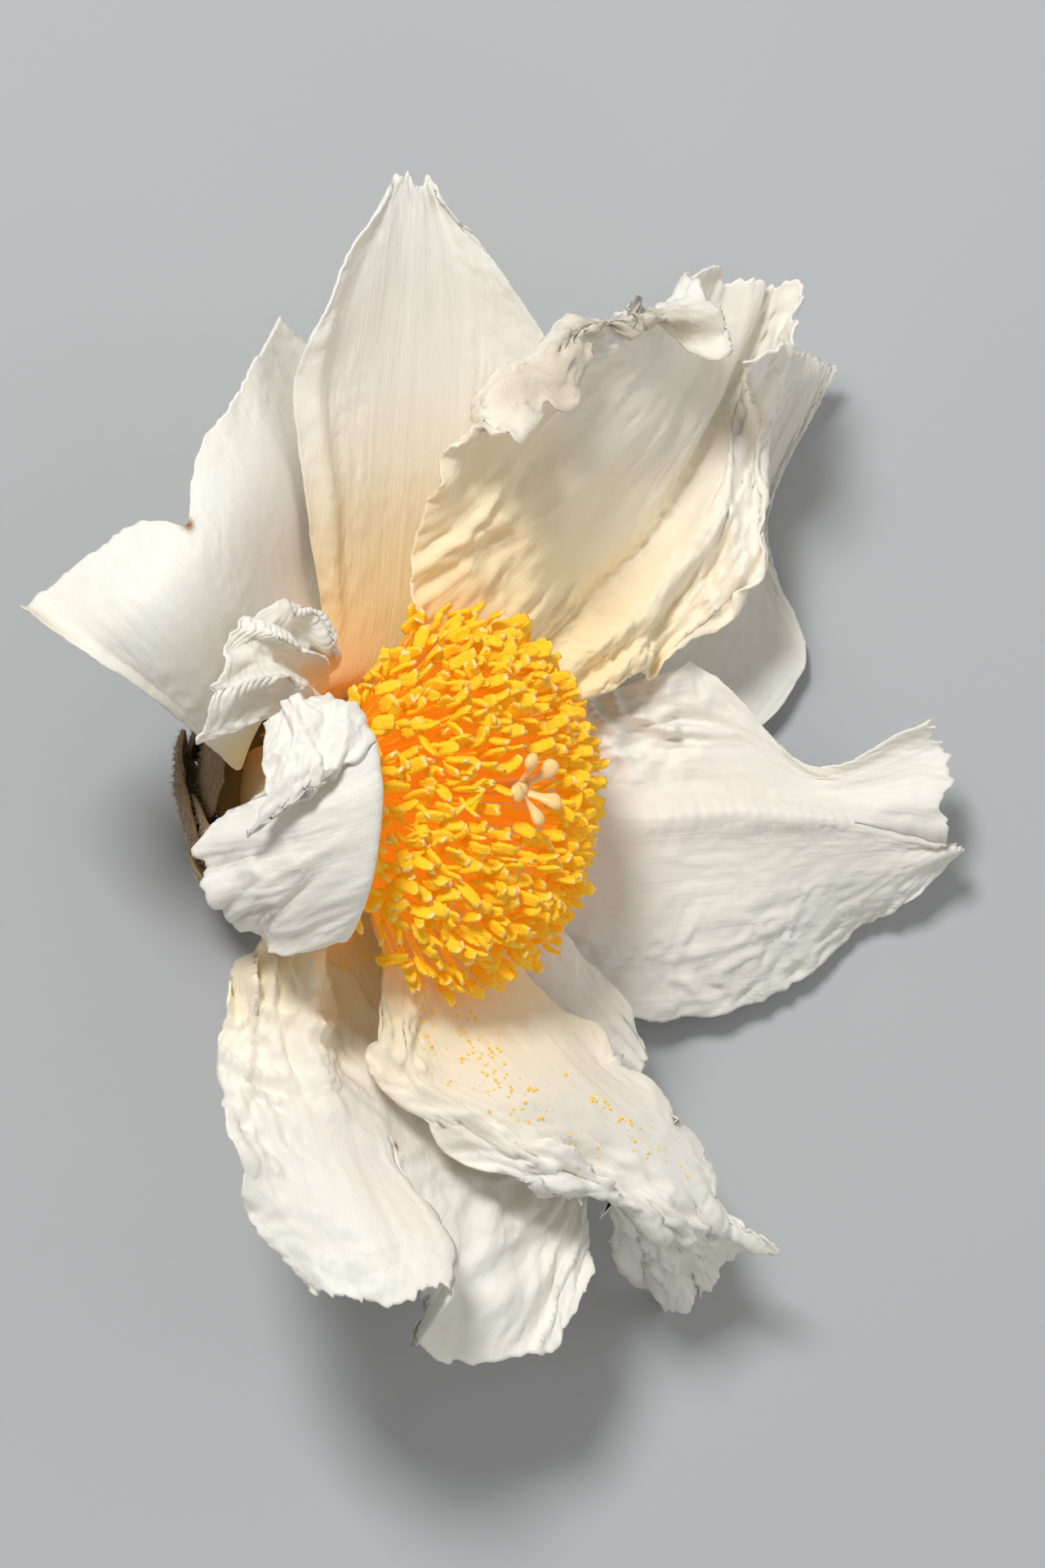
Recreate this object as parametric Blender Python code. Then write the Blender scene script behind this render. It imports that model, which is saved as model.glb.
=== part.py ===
"""A camellia flower, picked from its twig and lying on its back on a level surface.

The flower is laid out as it grew, in millimetres: x to the right, y up, z towards the front, with
its own axis leaning between x and z. It is then turned to the pose that it comes to rest in, so
that the lowest point is at z = 0 and the origin is under the middle of it, in metres.
"""

import math

import bmesh
import bpy
import numpy as np
from mathutils import Matrix, Vector

MM = 0.001

# How the flower grew, and how it lies once picked
AXIS_LEAN = math.radians(48)  # from z towards x
LIE_BACK = math.radians(15.1)  # turn about y
LIE_OVER = math.radians(3.65)  # turn about x

# Petals
PETAL_THICKNESS = 0.6
CELLS_ACROSS = 10
CELLS_ALONG = 12
# For each whorl, the foot and the neck of a claw: distance from the axis, height, half angle
CLAWS = {
    "inner": ((7.0, 0.7, 26), (10.2, 8.4, 27)),
    "outer": ((8.7, -0.6, 25), (13.4, 6.4, 26)),
}
TUCK_AT_FOOT = 0.3  # share of a claw's tuck that its foot already has
SIDES_FREE_FROM = 0.3  # share of the length from which a petal's sides are uneven
RUFFLED_FROM = 0.22  # and from which its edges wave

# Stamens: a tube of joined filaments, then rings of free ones
TUBE_BOTTOM = 0.6
TUBE_TOP = 7.5
TUBE_RADII = (3.3, 4.0, 4.7, 5.4, 5.9)
STAMENS_ROUND = 24
TIP_RADII = (5.0, 9.2, 13.2, 16.6)
TIP_HEIGHTS = (33.5, 32.0, 29.0, 25.0)
TIP_DROOP = 1.2  # how much further out the tips reach on the lower side
TIP_SWING = 3.0  # degrees, how far a tip may stray round the axis
TIP_STRAY = 0.7  # how far it may stray from its ring
TIP_UNEVEN = 1.0  # and in height
FILAMENT_HALF = 0.3
ANTHER_HALF = 0.75
ANTHER_TIP_HALF = 0.45
ANTHER_LENGTH = 3.0
ANTHER_SHOULDER = 0.35  # share of the anther at which it reaches its full width
ANTHER_UPRIGHT = 0.25  # how strongly an anther turns from its filament towards the axis
STAMEN_SEED = 48

# Pistil
OVARY_PROFILE = ((1.7, 0.6), (2.5, 1.8), (2.3, 3.6), (1.0, 5.6))
STYLE_RADIUS = 0.7
STYLE_TOP = 36.0
STIGMA_ARMS = 5
ARM_LENGTH = 3.4
# An arm's path from the style: (share of its length, height over the style's top)
ARM_PATH = ((0.12, 0.2), (0.4, 1.0), (0.85, 1.6), (1.0, 1.4))
ARM_HALVES = (0.26, 0.42, 0.25)
CROWN_RISE = 0.3

# Calyx: (distance from the axis, height) from foot to tip
RECEPTACLE_PROFILE = (
    (2.1, -10.4), (2.2, -7.6), (3.4, -6.0), (6.4, -3.9), (8.6, -1.9), (7.4, -1.2), (4.0, -0.1),
)
RECEPTACLE_SIDES = 16
SEPAL_PROFILE = ((5.4, -5.9), (9.4, -3.8), (11.9, -1.2), (13.2, 1.4), (13.6, 3.8))
BRACT_PROFILE = ((5.0, -7.4), (9.4, -6.0), (12.4, -3.6), (13.8, -0.8))
SCALE_HALF_ANGLES = (30, 40, 43, 37, 22)
SCALE_TUCK = 0.5  # one edge of a scale lies this far out and down, the other this far in and up
SCALE_THICKNESS = 0.5
SCALE_CELLS = 5
SCALES_ROUND = 5
SEPAL_TURN = 10
BRACT_TURN = 46

AXIS = np.array([math.sin(AXIS_LEAN), 0.0, math.cos(AXIS_LEAN)])
ACROSS = np.array([math.cos(AXIS_LEAN), 0.0, -math.sin(AXIS_LEAN)])
UP = np.array([0.0, 1.0, 0.0])

# Each petal is drawn by its ribs, smooth lines that run from the claw to the tip, from its left
# edge to its right edge as seen from inside the flower with the tip up. Points are in
# millimetres. Angles go round the axis, from x towards y: one for the foot, one for the neck.
#   tuck      how far the neck's left and right corners lie out from the ring
#   ruffle    depth of the waves at the edges, and how many there are
#   ragged    unevenness of the tip and of the two sides, as a share of the petal
#   notches   (place across, depth, width), as shares
#   parted    slits from the tip: (place across, where it starts, push left, push right, spread)
#   left_hem  the left edge rolled over: (start, radius, angle at each point of a rib)
#   tip_hem   the tip rolled over: (start, radius, angle)
PETALS = {
    "petal_upper_left": {
        "whorl": "outer",
        "azimuth": (130, 136),
        "seed": 1,
        "ruffle": (0.6, 3),
        "ragged": (0.006, 0.01),
        "notches": ((-0.06, 0.12, 0.14),),
        "left_hem": (0.88, 1.5, (0, 0, 60, 150)),
        "ribs": (
            ((-4.5, 2, 16), (-9.5, 6.5, 28), (-18.5, 14, 36), (-27, 18.5, 33)),
            ((0, 10, 21), (-3, 18, 29), (-6.5, 25.5, 35), (-10.5, 33, 33)),
            ((6.5, 15, 4), (7, 28, 6), (6, 41.5, 10), (0.5, 50.5, 19)),
        ),
    },
    "petal_top": {
        "whorl": "inner",
        "azimuth": (100, 99),
        "tuck": (0, 1.2),
        "seed": 2,
        "ruffle": (0.9, 4),
        "ragged": (0.01, 0.02),
        "tip_hem": (0.96, 1.6, 160),
        "ribs": (
            ((5, 15.5, 13), (3.5, 31, 22), (3, 45.5, 27), (7.5, 57, 27), (12, 64, 24)),
            ((11, 14, 9), (13, 29, 13), (14.5, 43, 16), (15, 56, 19), (14.5, 67.5, 21)),
            ((21, 15, 0), (27.5, 28, 5), (31, 43, 9), (25, 55, 15), (17.5, 63.5, 20)),
        ),
    },
    "petal_upper_right": {
        "whorl": "inner",
        "azimuth": (40, 42),
        "tuck": (-0.6, 0.3),
        "seed": 3,
        "ruffle": (1.4, 5),
        "ragged": (0.02, 0.02),
        "left_hem": (0.8, 2.2, (0, 0, 120, 175, 40)),
        "ribs": (
            ((14, 17, 17), (16, 28.5, 21), (19.5, 46, 25), (35, 55, 16), (50, 50, 10)),
            ((20.5, 14.5, 9), (24.5, 25, 11), (31, 38, 10), (41, 48, 4), (45.5, 56, 0)),
            ((26.5, 14, 2), (34, 23, -4), (41, 31.5, -8), (48, 42.5, -10), (52, 57, -9)),
            ((31, 12, -3), (39.5, 18.5, -8), (47.5, 28.5, -11), (51.5, 40.5, -13), (58, 54, -6)),
            ((35, 11, -6), (42, 13.5, -9), (53.5, 24, -9), (55, 38.5, -10), (54, 47.5, 6)),
        ),
    },
    "petal_upper_right_back": {
        "whorl": "outer",
        "azimuth": (58, 54),
        "tuck": (0, 0.8),
        "seed": 4,
        "ruffle": (0.6, 3),
        "ragged": (0.006, 0.02),
        "ribs": (
            ((30, 22.5, -9), (38.5, 33.5, -15), (47, 44.5, -19), (55.5, 49, -20)),
            ((35.5, 12.5, -15), (46, 21.5, -22), (51.5, 35, -25), (59, 49, -24)),
            ((44, 3, -20), (58.5, 13.5, -26), (54, 30.5, -28), (62, 48, -27)),
        ),
    },
    "petal_right": {
        "whorl": "outer",
        "azimuth": (2, 0),
        "seed": 5,
        "ruffle": (1.2, 5),
        "ragged": (0.015, 0.02),
        "parted": ((0, 0.84, (0, 0.8, 0.5), (0, -0.8, 0), 0.4),),
        "ribs": (
            ((36, 11, -11), (46.5, 13.5, -14), (59, 2.5, -18), (72, 8, -19)),
            ((35.5, 3.5, -11), (47.5, 4.5, -14), (59.5, 0, -18), (74.5, 3, -21)),
            ((35.5, -3.5, -9), (48.5, -3, -13), (60.5, -3.5, -16), (74, -5, -21)),
            ((35, -14, -10), (49.5, -13.5, -14), (62.5, -9.5, -19), (75, -6, -23)),
            ((34.5, -24, -12), (50.5, -25, -20), (65.5, -16.5, -25), (76.5, -7, -25)),
        ),
    },
    "petal_lower_right": {
        "whorl": "inner",
        "azimuth": (312, 312),
        "tuck": (-0.2, -0.6),
        "seed": 6,
        "ruffle": (1.2, 5),
        "ragged": (0.02, 0.02),
        "ribs": (
            ((25, -17.5, 3), (36, -28.5, 2), (45.5, -39.5, -1), (48, -46.5, -3), (55, -51, -6)),
            ((21.5, -19, 8), (30, -30, 9), (41, -40.5, 4), (45.5, -47.5, 0), (50.5, -53.5, -9)),
            ((18, -20, 12), (25, -32.5, 14), (36.5, -41.5, 8), (42.5, -48.5, 3), (46.5, -57, -14)),
            ((14.5, -19, 16), (18.5, -33, 18), (31.5, -41, 14), (39.5, -48.5, 4), (41.5, -58.5, -17)),
            ((11, -16, 19), (12.5, -30, 21), (26.5, -41.5, 17), (36.5, -46.5, 5), (35.5, -52.5, -15)),
        ),
    },
    "petal_lower_right_back": {
        "whorl": "outer",
        "azimuth": (306, 307),
        "tuck": (-0.9, 0),
        "seed": 7,
        "ruffle": (0.8, 4),
        "ragged": (0.01, 0.02),
        "ribs": (
            ((30, -15, -3), (35, -20.5, -6), (40, -28, -9)),
            ((26.5, -17.5, -1), (33, -25, -4), (39.5, -31.5, -8)),
            ((22, -21, 0), (28.5, -28.5, -2), (35.5, -33, -5)),
        ),
    },
    "petal_bottom": {
        "whorl": "outer",
        "azimuth": (248, 248),
        "tuck": (0.4, 0),
        "seed": 8,
        "ruffle": (1.2, 5),
        "ragged": (0.012, 0.02),
        "parted": ((0, 0.72, (-4, -3.5, -5), (1, 2.5, 3), 0.4),),
        "ribs": (
            ((10.5, -17.5, 3), (24, -30, 2), (32.5, -43.5, 0), (34, -53.5, 4)),
            ((9, -16.5, 9), (16.5, -30, 9), (25, -46, 8), (29, -61, 10)),
            ((5.5, -16.5, 15), (9, -29.5, 17), (14.5, -42.5, 20), (18.5, -56.5, 24)),
            ((2, -15.5, 19), (2, -28.5, 24), (5, -41, 28), (10.5, -55, 30)),
            ((-1.5, -12.5, 20), (-4.5, -25.5, 26), (-3.5, -39.5, 31), (3.5, -52.5, 31)),
        ),
    },
    "petal_near_left": {
        "whorl": "inner",
        "azimuth": (230, 224),
        "tuck": (0, -0.8),
        "seed": 9,
        "ruffle": (1, 4),
        "ragged": (0.015, 0.02),
        "parted": ((0.3, 0.62, (0, 0, -1.5), (0.5, -2.5, 2), 0.35),),
        "ribs": (
            ((6, -13, 26), (7.5, -16, 35), (3, -17, 34), (-1.5, -15.5, 28)),
            ((6.5, -6, 32), (11, -9, 41), (3.5, -9, 41), (-6, -11.5, 34)),
            ((6, 0, 34), (11.5, 0.5, 43), (4, -3, 43), (-7, -6, 35)),
            ((6, 5, 33), (10, 7, 41), (5, 4, 44), (-0.5, 0.5, 41)),
            ((5.5, 8, 30), (6, 10, 38), (2, 9.5, 42), (-1, 7, 41)),
        ),
    },
    "petal_near_left_upper": {
        "whorl": "inner",
        "azimuth": (172, 168),
        "tuck": (0.9, 0),
        "seed": 10,
        "ruffle": (1.4, 5),
        "ragged": (0.03, 0.02),
        "ribs": (
            ((3, 4.5, 22), (0.5, 7.5, 31), (-8, 5, 38)),
            ((3.5, 9, 23), (-0.5, 13, 33), (-6, 11.5, 40)),
            ((4, 12, 22), (1, 16, 31), (-2.5, 18, 36)),
            ((5, 13.5, 20), (4.5, 17, 28), (1.5, 20, 32)),
            ((5.5, 14.5, 18), (6, 15.5, 23), (6.5, 16.5, 26)),
        ),
    },
}


def round_axis(radius, azimuth, height):
    """A point given by its distance from the axis, its angle round it and its height along it."""
    angle = np.radians(azimuth)
    across = np.multiply.outer(radius * np.cos(angle), ACROSS)
    return across + np.multiply.outer(radius * np.sin(angle), UP) + height * AXIS


def unit(vectors):
    return vectors / np.maximum(np.linalg.norm(vectors, axis=-1, keepdims=True), 1e-9)


def ease(x):
    """0 below 0, 1 above 1 and smooth between."""
    x = np.clip(x, 0, 1)
    return x * x * (3 - 2 * x)


def blend_four(p0, p1, p2, p3, f):
    """Catmull-Rom between p1 and p2."""
    bend = (2 * p0 - 5 * p1 + 4 * p2 - p3) * f**2
    return 0.5 * (2 * p1 + (p2 - p0) * f + bend + (3 * p1 - p0 - 3 * p2 + p3) * f**3)


def along(points, at):
    """A smooth curve through points 0, 1, 2..., read at each number in at."""
    points = np.asarray(points, float)
    at = np.asarray(at, float)
    cell = np.clip(np.floor(at).astype(int), 0, len(points) - 2)
    before = 2 * points[:1] - points[1:2]
    after = 2 * points[-1:] - points[-2:-1]
    known = np.concatenate([before, points, after])
    return blend_four(*(known[cell + k] for k in range(4)), (at - cell)[..., None])


def ripple(x, y, seed):
    """Smooth noise between -1 and 1."""
    table = np.random.default_rng(seed).uniform(-1, 1, (64, 64))
    column = np.floor(x).astype(int)
    row = np.floor(y).astype(int)
    fx = ease(x - column)
    fy = ease(y - row)
    near = table[column % 64, row % 64] * (1 - fx) + table[(column + 1) % 64, row % 64] * fx
    far = table[column % 64, (row + 1) % 64] * (1 - fx) + table[(column + 1) % 64, (row + 1) % 64] * fx
    return near * (1 - fy) + far * fy


def normals(grid):
    """The direction that each point of a petal's inner face looks."""
    return unit(np.cross(np.gradient(grid, axis=1), np.gradient(grid, axis=0)))


def rolled(grid, share, start, radius, angles, side):
    """The columns past start, wound over a round edge by an angle given for each row."""
    result = grid.copy()
    first = int(np.searchsorted(share, start))
    facing = normals(grid)
    steps = np.linalg.norm(np.diff(grid, axis=1), axis=2)
    for row, angle in enumerate(angles):
        ahead = unit(grid[row, first] - grid[row, first - 1])
        over = facing[row, first] - (facing[row, first] @ ahead) * ahead
        over = unit(over) * side
        place = grid[row, first].copy()
        turned = 0.0
        for column in range(first + 1, grid.shape[1]):
            step = steps[row, column - 1]
            after = min(math.radians(angle), turned + step / radius)
            middle = (turned + after) / 2
            place = place + step * (math.cos(middle) * ahead + math.sin(middle) * over)
            turned = after
            result[row, column] = place
    return result


def claw_corners(petal, way):
    """Foot and neck of the rib that is way across the petal, 1 at the left edge, -1 at the right."""
    tuck = petal.get("tuck", (0.0, 0.0))
    outward = tuck[0] * max(way, 0) + tuck[1] * max(-way, 0)
    claws = CLAWS[petal["whorl"]]
    corners = []
    for azimuth, (radius, height, half), share in zip(petal["azimuth"], claws, (TUCK_AT_FOOT, 1)):
        corners.append(round_axis(radius + outward * share, azimuth + way * half, height))
    return corners


def lofted(ribs, across, stations):
    """Points between the ribs: across runs from -1 to 1, stations number each rib's points."""
    lanes = np.array([along(rib, stations) for rib in ribs])
    if len(ribs) == 3:
        w = across[..., None]
        return lanes[0] * (w * w - w) / 2 + lanes[1] * (1 - w * w) + lanes[2] * (w * w + w) / 2
    place = (across + 1) / 2 * (len(ribs) - 1)
    cell = np.clip(np.floor(place).astype(int), 0, len(ribs) - 2)
    known = np.concatenate([2 * lanes[:1] - lanes[1:2], lanes, 2 * lanes[-1:] - lanes[-2:-1]])
    rows, columns = np.indices(across.shape)
    four = (known[cell + k, rows, columns] for k in range(4))
    return blend_four(*four, (place - cell)[..., None])


def petal_surface(petal):
    """The middle of a petal's sheet, as rows from the claw to the tip, and its two scales."""
    seed = petal["seed"]
    count = len(petal["ribs"])
    ribs = []
    for number, points in enumerate(petal["ribs"]):
        corners = claw_corners(petal, 1 - 2 * number / (count - 1))
        ribs.append(np.array(corners + [np.array(point, float) for point in points]))
    last = len(ribs[0]) - 1
    u = np.linspace(-1, 1, CELLS_ACROSS + 1)
    v = np.linspace(0, 1, CELLS_ALONG + 1)
    rough_tip, rough_sides = petal["ragged"]
    reach = 1 + rough_tip * ripple(u * 7 + 3.3, u * 0 + 1.7, seed)
    reach = reach + 0.5 * rough_tip * ripple(u * 19, u * 0 + 5.1, seed + 1)
    for place, depth, width in petal.get("notches", ()):
        reach = reach - depth * np.exp(-np.abs((u - place) / width) ** 1.5)
    share = v[:, None] * reach[None, :]
    across = u[None, :] * np.ones_like(share)
    waver = ripple(share * last * 5.3 + np.sign(across) * 9 + 20, np.abs(across) / 2, seed + 5)
    free_side = ease((share - SIDES_FREE_FROM) / 0.2)
    across = across * (1 + rough_sides * free_side * waver * np.abs(across) ** 4)
    grid = lofted(ribs, across, share * last)
    for place, start, push_left, push_right, spread in petal.get("parted", ()):
        nearness = np.exp(-(((u - place) / spread) ** 2))
        for side, push in ((u < place, push_left), (u >= place, push_right)):
            amount = ease((v - start) / (1 - start))[:, None] * (nearness * side)[None, :]
            grid = grid + amount[..., None] * np.array(push, float)
    depth, waves = petal["ruffle"]
    loose = ease((share - RUFFLED_FROM) / 0.4)
    at_tip = ease((v[:, None] - 0.65) / 0.35) * np.ones_like(share)
    side_wave = ripple(share * waves * 2 + seed, np.sign(across) * 7 + across * 0.8, seed + 2)
    tip_wave = ripple(across * waves + 7, v[:, None] * 1.5 + 0 * across, seed + 3)
    lift = loose * depth * (1.4 * np.abs(across) ** 3 * side_wave + at_tip * tip_wave)
    grid = grid + lift[..., None] * normals(grid)
    if "tip_hem" in petal:
        start, radius, angle = petal["tip_hem"]
        lengthwise = np.swapaxes(grid, 0, 1)
        lengthwise = rolled(lengthwise, v, start, radius, [angle] * len(u), -1)
        grid = np.swapaxes(lengthwise, 0, 1)
    if "left_hem" in petal:
        start, radius, angles = petal["left_hem"]
        angles = along(np.array((0, 0) + angles)[:, None], v * last)[:, 0]
        grid = rolled(grid[:, ::-1], -u[::-1], start, radius, angles, -1)[:, ::-1]
    return grid, u, v


def cells_kept(petal, u, v):
    """False for the cells of the grid that a slit takes out."""
    keep = np.ones((len(v) - 1, len(u) - 1), bool)
    for place, start, *_ in petal.get("parted", ()):
        column = int(np.argmin(np.abs((u[:-1] + u[1:]) / 2 - place)))
        keep[v[:-1] >= start, column] = False
    return keep


def sheet_mesh(name, grid, keep, thickness):
    """A closed mesh of a sheet this thick, with the grid as its middle."""
    rows, columns = grid.shape[:2]
    count = rows * columns
    ids = np.arange(count).reshape(rows, columns)
    quads = np.stack([ids[:-1, :-1], ids[:-1, 1:], ids[1:, 1:], ids[1:, :-1]], -1)[keep]
    half = normals(grid) * thickness / 2
    points = np.concatenate([(grid + half).reshape(-1, 3), (grid - half).reshape(-1, 3)])
    faces = [[int(i) for i in quad] for quad in quads]
    faces += [[int(i) + count for i in quad[::-1]] for quad in quads]
    edges = {(int(a), int(b)) for quad in quads for a, b in zip(quad, np.roll(quad, -1))}
    rim = sorted((a, b) for a, b in edges if (b, a) not in edges)
    faces += [[b, a, a + count, b + count] for a, b in rim]
    used = sorted({i for face in faces for i in face})
    number = {old: new for new, old in enumerate(used)}
    mesh = bpy.data.meshes.new(name)
    mesh.from_pydata(
        [Vector(points[i]) * MM for i in used], [], [[number[i] for i in face] for face in faces]
    )
    return mesh


def scale_mesh(name, profile, turn):
    """A cupped scale of the calyx, wrapped round the axis with one edge over its neighbour."""
    u = np.linspace(-1, 1, SCALE_CELLS + 1)
    v = np.linspace(0, 1, SCALE_CELLS + 1)
    shape = along(np.array(profile), v * (len(profile) - 1))
    halves = along(np.array(SCALE_HALF_ANGLES)[:, None], v * (len(SCALE_HALF_ANGLES) - 1))[:, 0]
    rows = []
    for (radius, height), half in zip(shape, halves):
        tucks = SCALE_TUCK * u
        rows.append([round_axis(radius + t, turn - half * w, height - t) for w, t in zip(u, tucks)])
    every_cell = np.ones((SCALE_CELLS, SCALE_CELLS), bool)
    return sheet_mesh(name, np.array(rows), every_cell, SCALE_THICKNESS)


def ring_of(bm, radius, height, count):
    """A ring of vertices round the axis."""
    azimuths = np.arange(count) * 360 / count
    return [bm.verts.new(Vector(round_axis(radius, a, height))) for a in azimuths]


def bridge(bm, lower, upper):
    """The wall between two rings, facing away from the axis when upper is higher."""
    for k in range(len(lower)):
        after = (k + 1) % len(lower)
        bm.faces.new((lower[k], lower[after], upper[after], upper[k]))


def grow(bm, face, path, halves):
    """Draws a four-sided face out along a path, with a half width at each point of it."""
    corner = face.verts[0].co - face.calc_center_median()
    for here, after, half in zip(path, path[1:], halves):
        face = bmesh.ops.extrude_discrete_faces(bm, faces=[face])["faces"][0]
        ahead = Vector(after - here).normalized()
        side = (corner - corner.project(ahead)).normalized()
        other = ahead.cross(side)
        places = (side, other, -side, -other)
        for vertex, place in zip(face.verts, places):
            vertex.co = Vector(after) + place * half * math.sqrt(2)


def finished(name, bm):
    """The bmesh as a mesh in metres, with its faces turned outwards."""
    bmesh.ops.recalc_face_normals(bm, faces=bm.faces)
    bmesh.ops.scale(bm, vec=(MM, MM, MM), verts=bm.verts)
    mesh = bpy.data.meshes.new(name)
    bm.to_mesh(mesh)
    bm.free()
    return mesh


def stamens_mesh(name):
    """The tube of joined filaments, with a free stamen grown from each cell of its rim."""
    rng = np.random.default_rng(STAMEN_SEED)
    bm = bmesh.new()
    rims = [ring_of(bm, radius, TUBE_TOP, STAMENS_ROUND) for radius in TUBE_RADII]
    foot_in = ring_of(bm, TUBE_RADII[0], TUBE_BOTTOM, STAMENS_ROUND)
    foot_out = ring_of(bm, TUBE_RADII[-1] - 0.4, TUBE_BOTTOM, STAMENS_ROUND)
    bridge(bm, foot_out, rims[-1])
    bridge(bm, rims[0], foot_in)
    bridge(bm, foot_in, foot_out)
    cells = []
    for ring in range(len(rims) - 1):
        inner, outer = rims[ring], rims[ring + 1]
        for k in range(STAMENS_ROUND):
            after = (k + 1) % STAMENS_ROUND
            cell = bm.faces.new((inner[k], outer[k], outer[after], inner[after]))
            cells.append((ring, (k + 0.5) * 360 / STAMENS_ROUND, cell))
    for ring, azimuth, cell in cells:
        start = (TUBE_RADII[ring] + TUBE_RADII[ring + 1]) / 2
        swing = azimuth + rng.uniform(-TIP_SWING, TIP_SWING)
        radius = TIP_RADII[ring] + rng.uniform(-TIP_STRAY, TIP_STRAY)
        radius += TIP_DROOP * max(0, -math.sin(math.radians(swing))) * radius / TIP_RADII[-1]
        height = TIP_HEIGHTS[ring] + rng.uniform(-TIP_UNEVEN, TIP_UNEVEN)
        foot = round_axis(start, azimuth, TUBE_TOP)
        tip = round_axis(radius, swing, height)
        middle = (foot + tip) / 2
        lean = unit(unit(tip - middle) + ANTHER_UPRIGHT * AXIS)
        shoulder = tip + lean * ANTHER_LENGTH * ANTHER_SHOULDER
        end = tip + lean * ANTHER_LENGTH
        halves = (FILAMENT_HALF, FILAMENT_HALF, ANTHER_HALF, ANTHER_TIP_HALF)
        grow(bm, cell, (foot, middle, tip, shoulder, end), halves)
    return finished(name, bm)


def pistil_mesh(name):
    """Ovary and style turned round the axis, with the stigma's arms grown from the top."""
    bm = bmesh.new()
    sides = 2 * STIGMA_ARMS
    profile = OVARY_PROFILE + ((STYLE_RADIUS, 12.0), (STYLE_RADIUS, STYLE_TOP))
    rings = [ring_of(bm, radius, height, sides) for radius, height in profile]
    bm.faces.new(rings[0][::-1])
    for lower, upper in zip(rings, rings[1:]):
        bridge(bm, lower, upper)
    top = rings[-1]
    crown = bm.verts.new(Vector(round_axis(0, 0, STYLE_TOP + CROWN_RISE)))
    wedges = []
    for k in range(STIGMA_ARMS):
        corners = (crown, top[2 * k], top[2 * k + 1], top[(2 * k + 2) % sides])
        wedges.append((bm.faces.new(corners), (2 * k + 1) * 360 / sides))
    for face, azimuth in wedges:
        path = [round_axis(ARM_LENGTH * out, azimuth, STYLE_TOP + rise) for out, rise in ARM_PATH]
        grow(bm, face, path, ARM_HALVES)
    return finished(name, bm)


def receptacle_mesh(name):
    """The cut stub of the stalk and the cup that everything stands on, turned round the axis."""
    bm = bmesh.new()
    rings = [ring_of(bm, radius, height, RECEPTACLE_SIDES) for radius, height in RECEPTACLE_PROFILE]
    bm.faces.new(rings[0][::-1])
    for lower, upper in zip(rings, rings[1:]):
        bridge(bm, lower, upper)
    bm.faces.new(rings[-1])
    return finished(name, bm)


def material(name, colour, roughness):
    made = bpy.data.materials.new(name)
    made.use_nodes = True
    shader = made.node_tree.nodes["Principled BSDF"]
    shader.inputs["Base Color"].default_value = (*colour, 1)
    shader.inputs["Roughness"].default_value = roughness
    shader.inputs["Metallic"].default_value = 0
    return made


def add(mesh, finish, parent):
    """An object for one piece of the flower."""
    piece = bpy.data.objects.new(mesh.name, mesh)
    bpy.context.scene.collection.objects.link(piece)
    mesh.materials.append(finish)
    mesh.shade_smooth()
    mesh.set_sharp_from_angle(angle=math.radians(50))
    piece.parent = parent
    return piece


def build_flower(parent):
    white = material("petal_white", (0.86, 0.85, 0.80), 0.45)
    orange = material("pollen_orange", (0.90, 0.36, 0.02), 0.6)
    cream = material("stigma_cream", (0.90, 0.66, 0.38), 0.5)
    green = material("stalk_green", (0.12, 0.15, 0.04), 0.7)
    brown = material("woolly_brown", (0.20, 0.15, 0.09), 0.9)
    pieces = []
    for name, petal in PETALS.items():
        grid, u, v = petal_surface(petal)
        mesh = sheet_mesh(name, grid, cells_kept(petal, u, v), PETAL_THICKNESS)
        pieces.append(add(mesh, white, parent))
    pieces.append(add(stamens_mesh("stamens"), orange, parent))
    pieces.append(add(pistil_mesh("pistil"), cream, parent))
    pieces.append(add(receptacle_mesh("receptacle"), green, parent))
    for k in range(SCALES_ROUND):
        turn = k * 360 / SCALES_ROUND
        sepal = scale_mesh(f"sepal_{k + 1}", SEPAL_PROFILE, turn + SEPAL_TURN)
        bract = scale_mesh(f"bract_{k + 1}", BRACT_PROFILE, turn + BRACT_TURN)
        pieces.append(add(sepal, brown, parent))
        pieces.append(add(bract, brown, parent))
    return pieces


def lay_down(flower, pieces):
    """Turns the flower to its resting pose, and stands its box on the origin."""
    turn = Matrix.Rotation(LIE_OVER, 4, "X") @ Matrix.Rotation(-LIE_BACK, 4, "Y")
    corners = np.array([turn @ vertex.co for piece in pieces for vertex in piece.data.vertices])
    low = corners.min(axis=0)
    high = corners.max(axis=0)
    flower.rotation_euler = turn.to_euler()
    flower.location = (-(low[0] + high[0]) / 2, -(low[1] + high[1]) / 2, -low[2])


def main():
    for obj in list(bpy.data.objects):
        bpy.data.objects.remove(obj, do_unlink=True)
    flower = bpy.data.objects.new("flower", None)
    bpy.context.scene.collection.objects.link(flower)
    pieces = build_flower(flower)
    lay_down(flower, pieces)


main()
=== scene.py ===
"""The finish of the camellia flower: fine petals, stamens, pistil, calyx, stalk, light and camera."""

import math

import bpy
import numpy as np
from mathutils import Matrix, Vector


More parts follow.
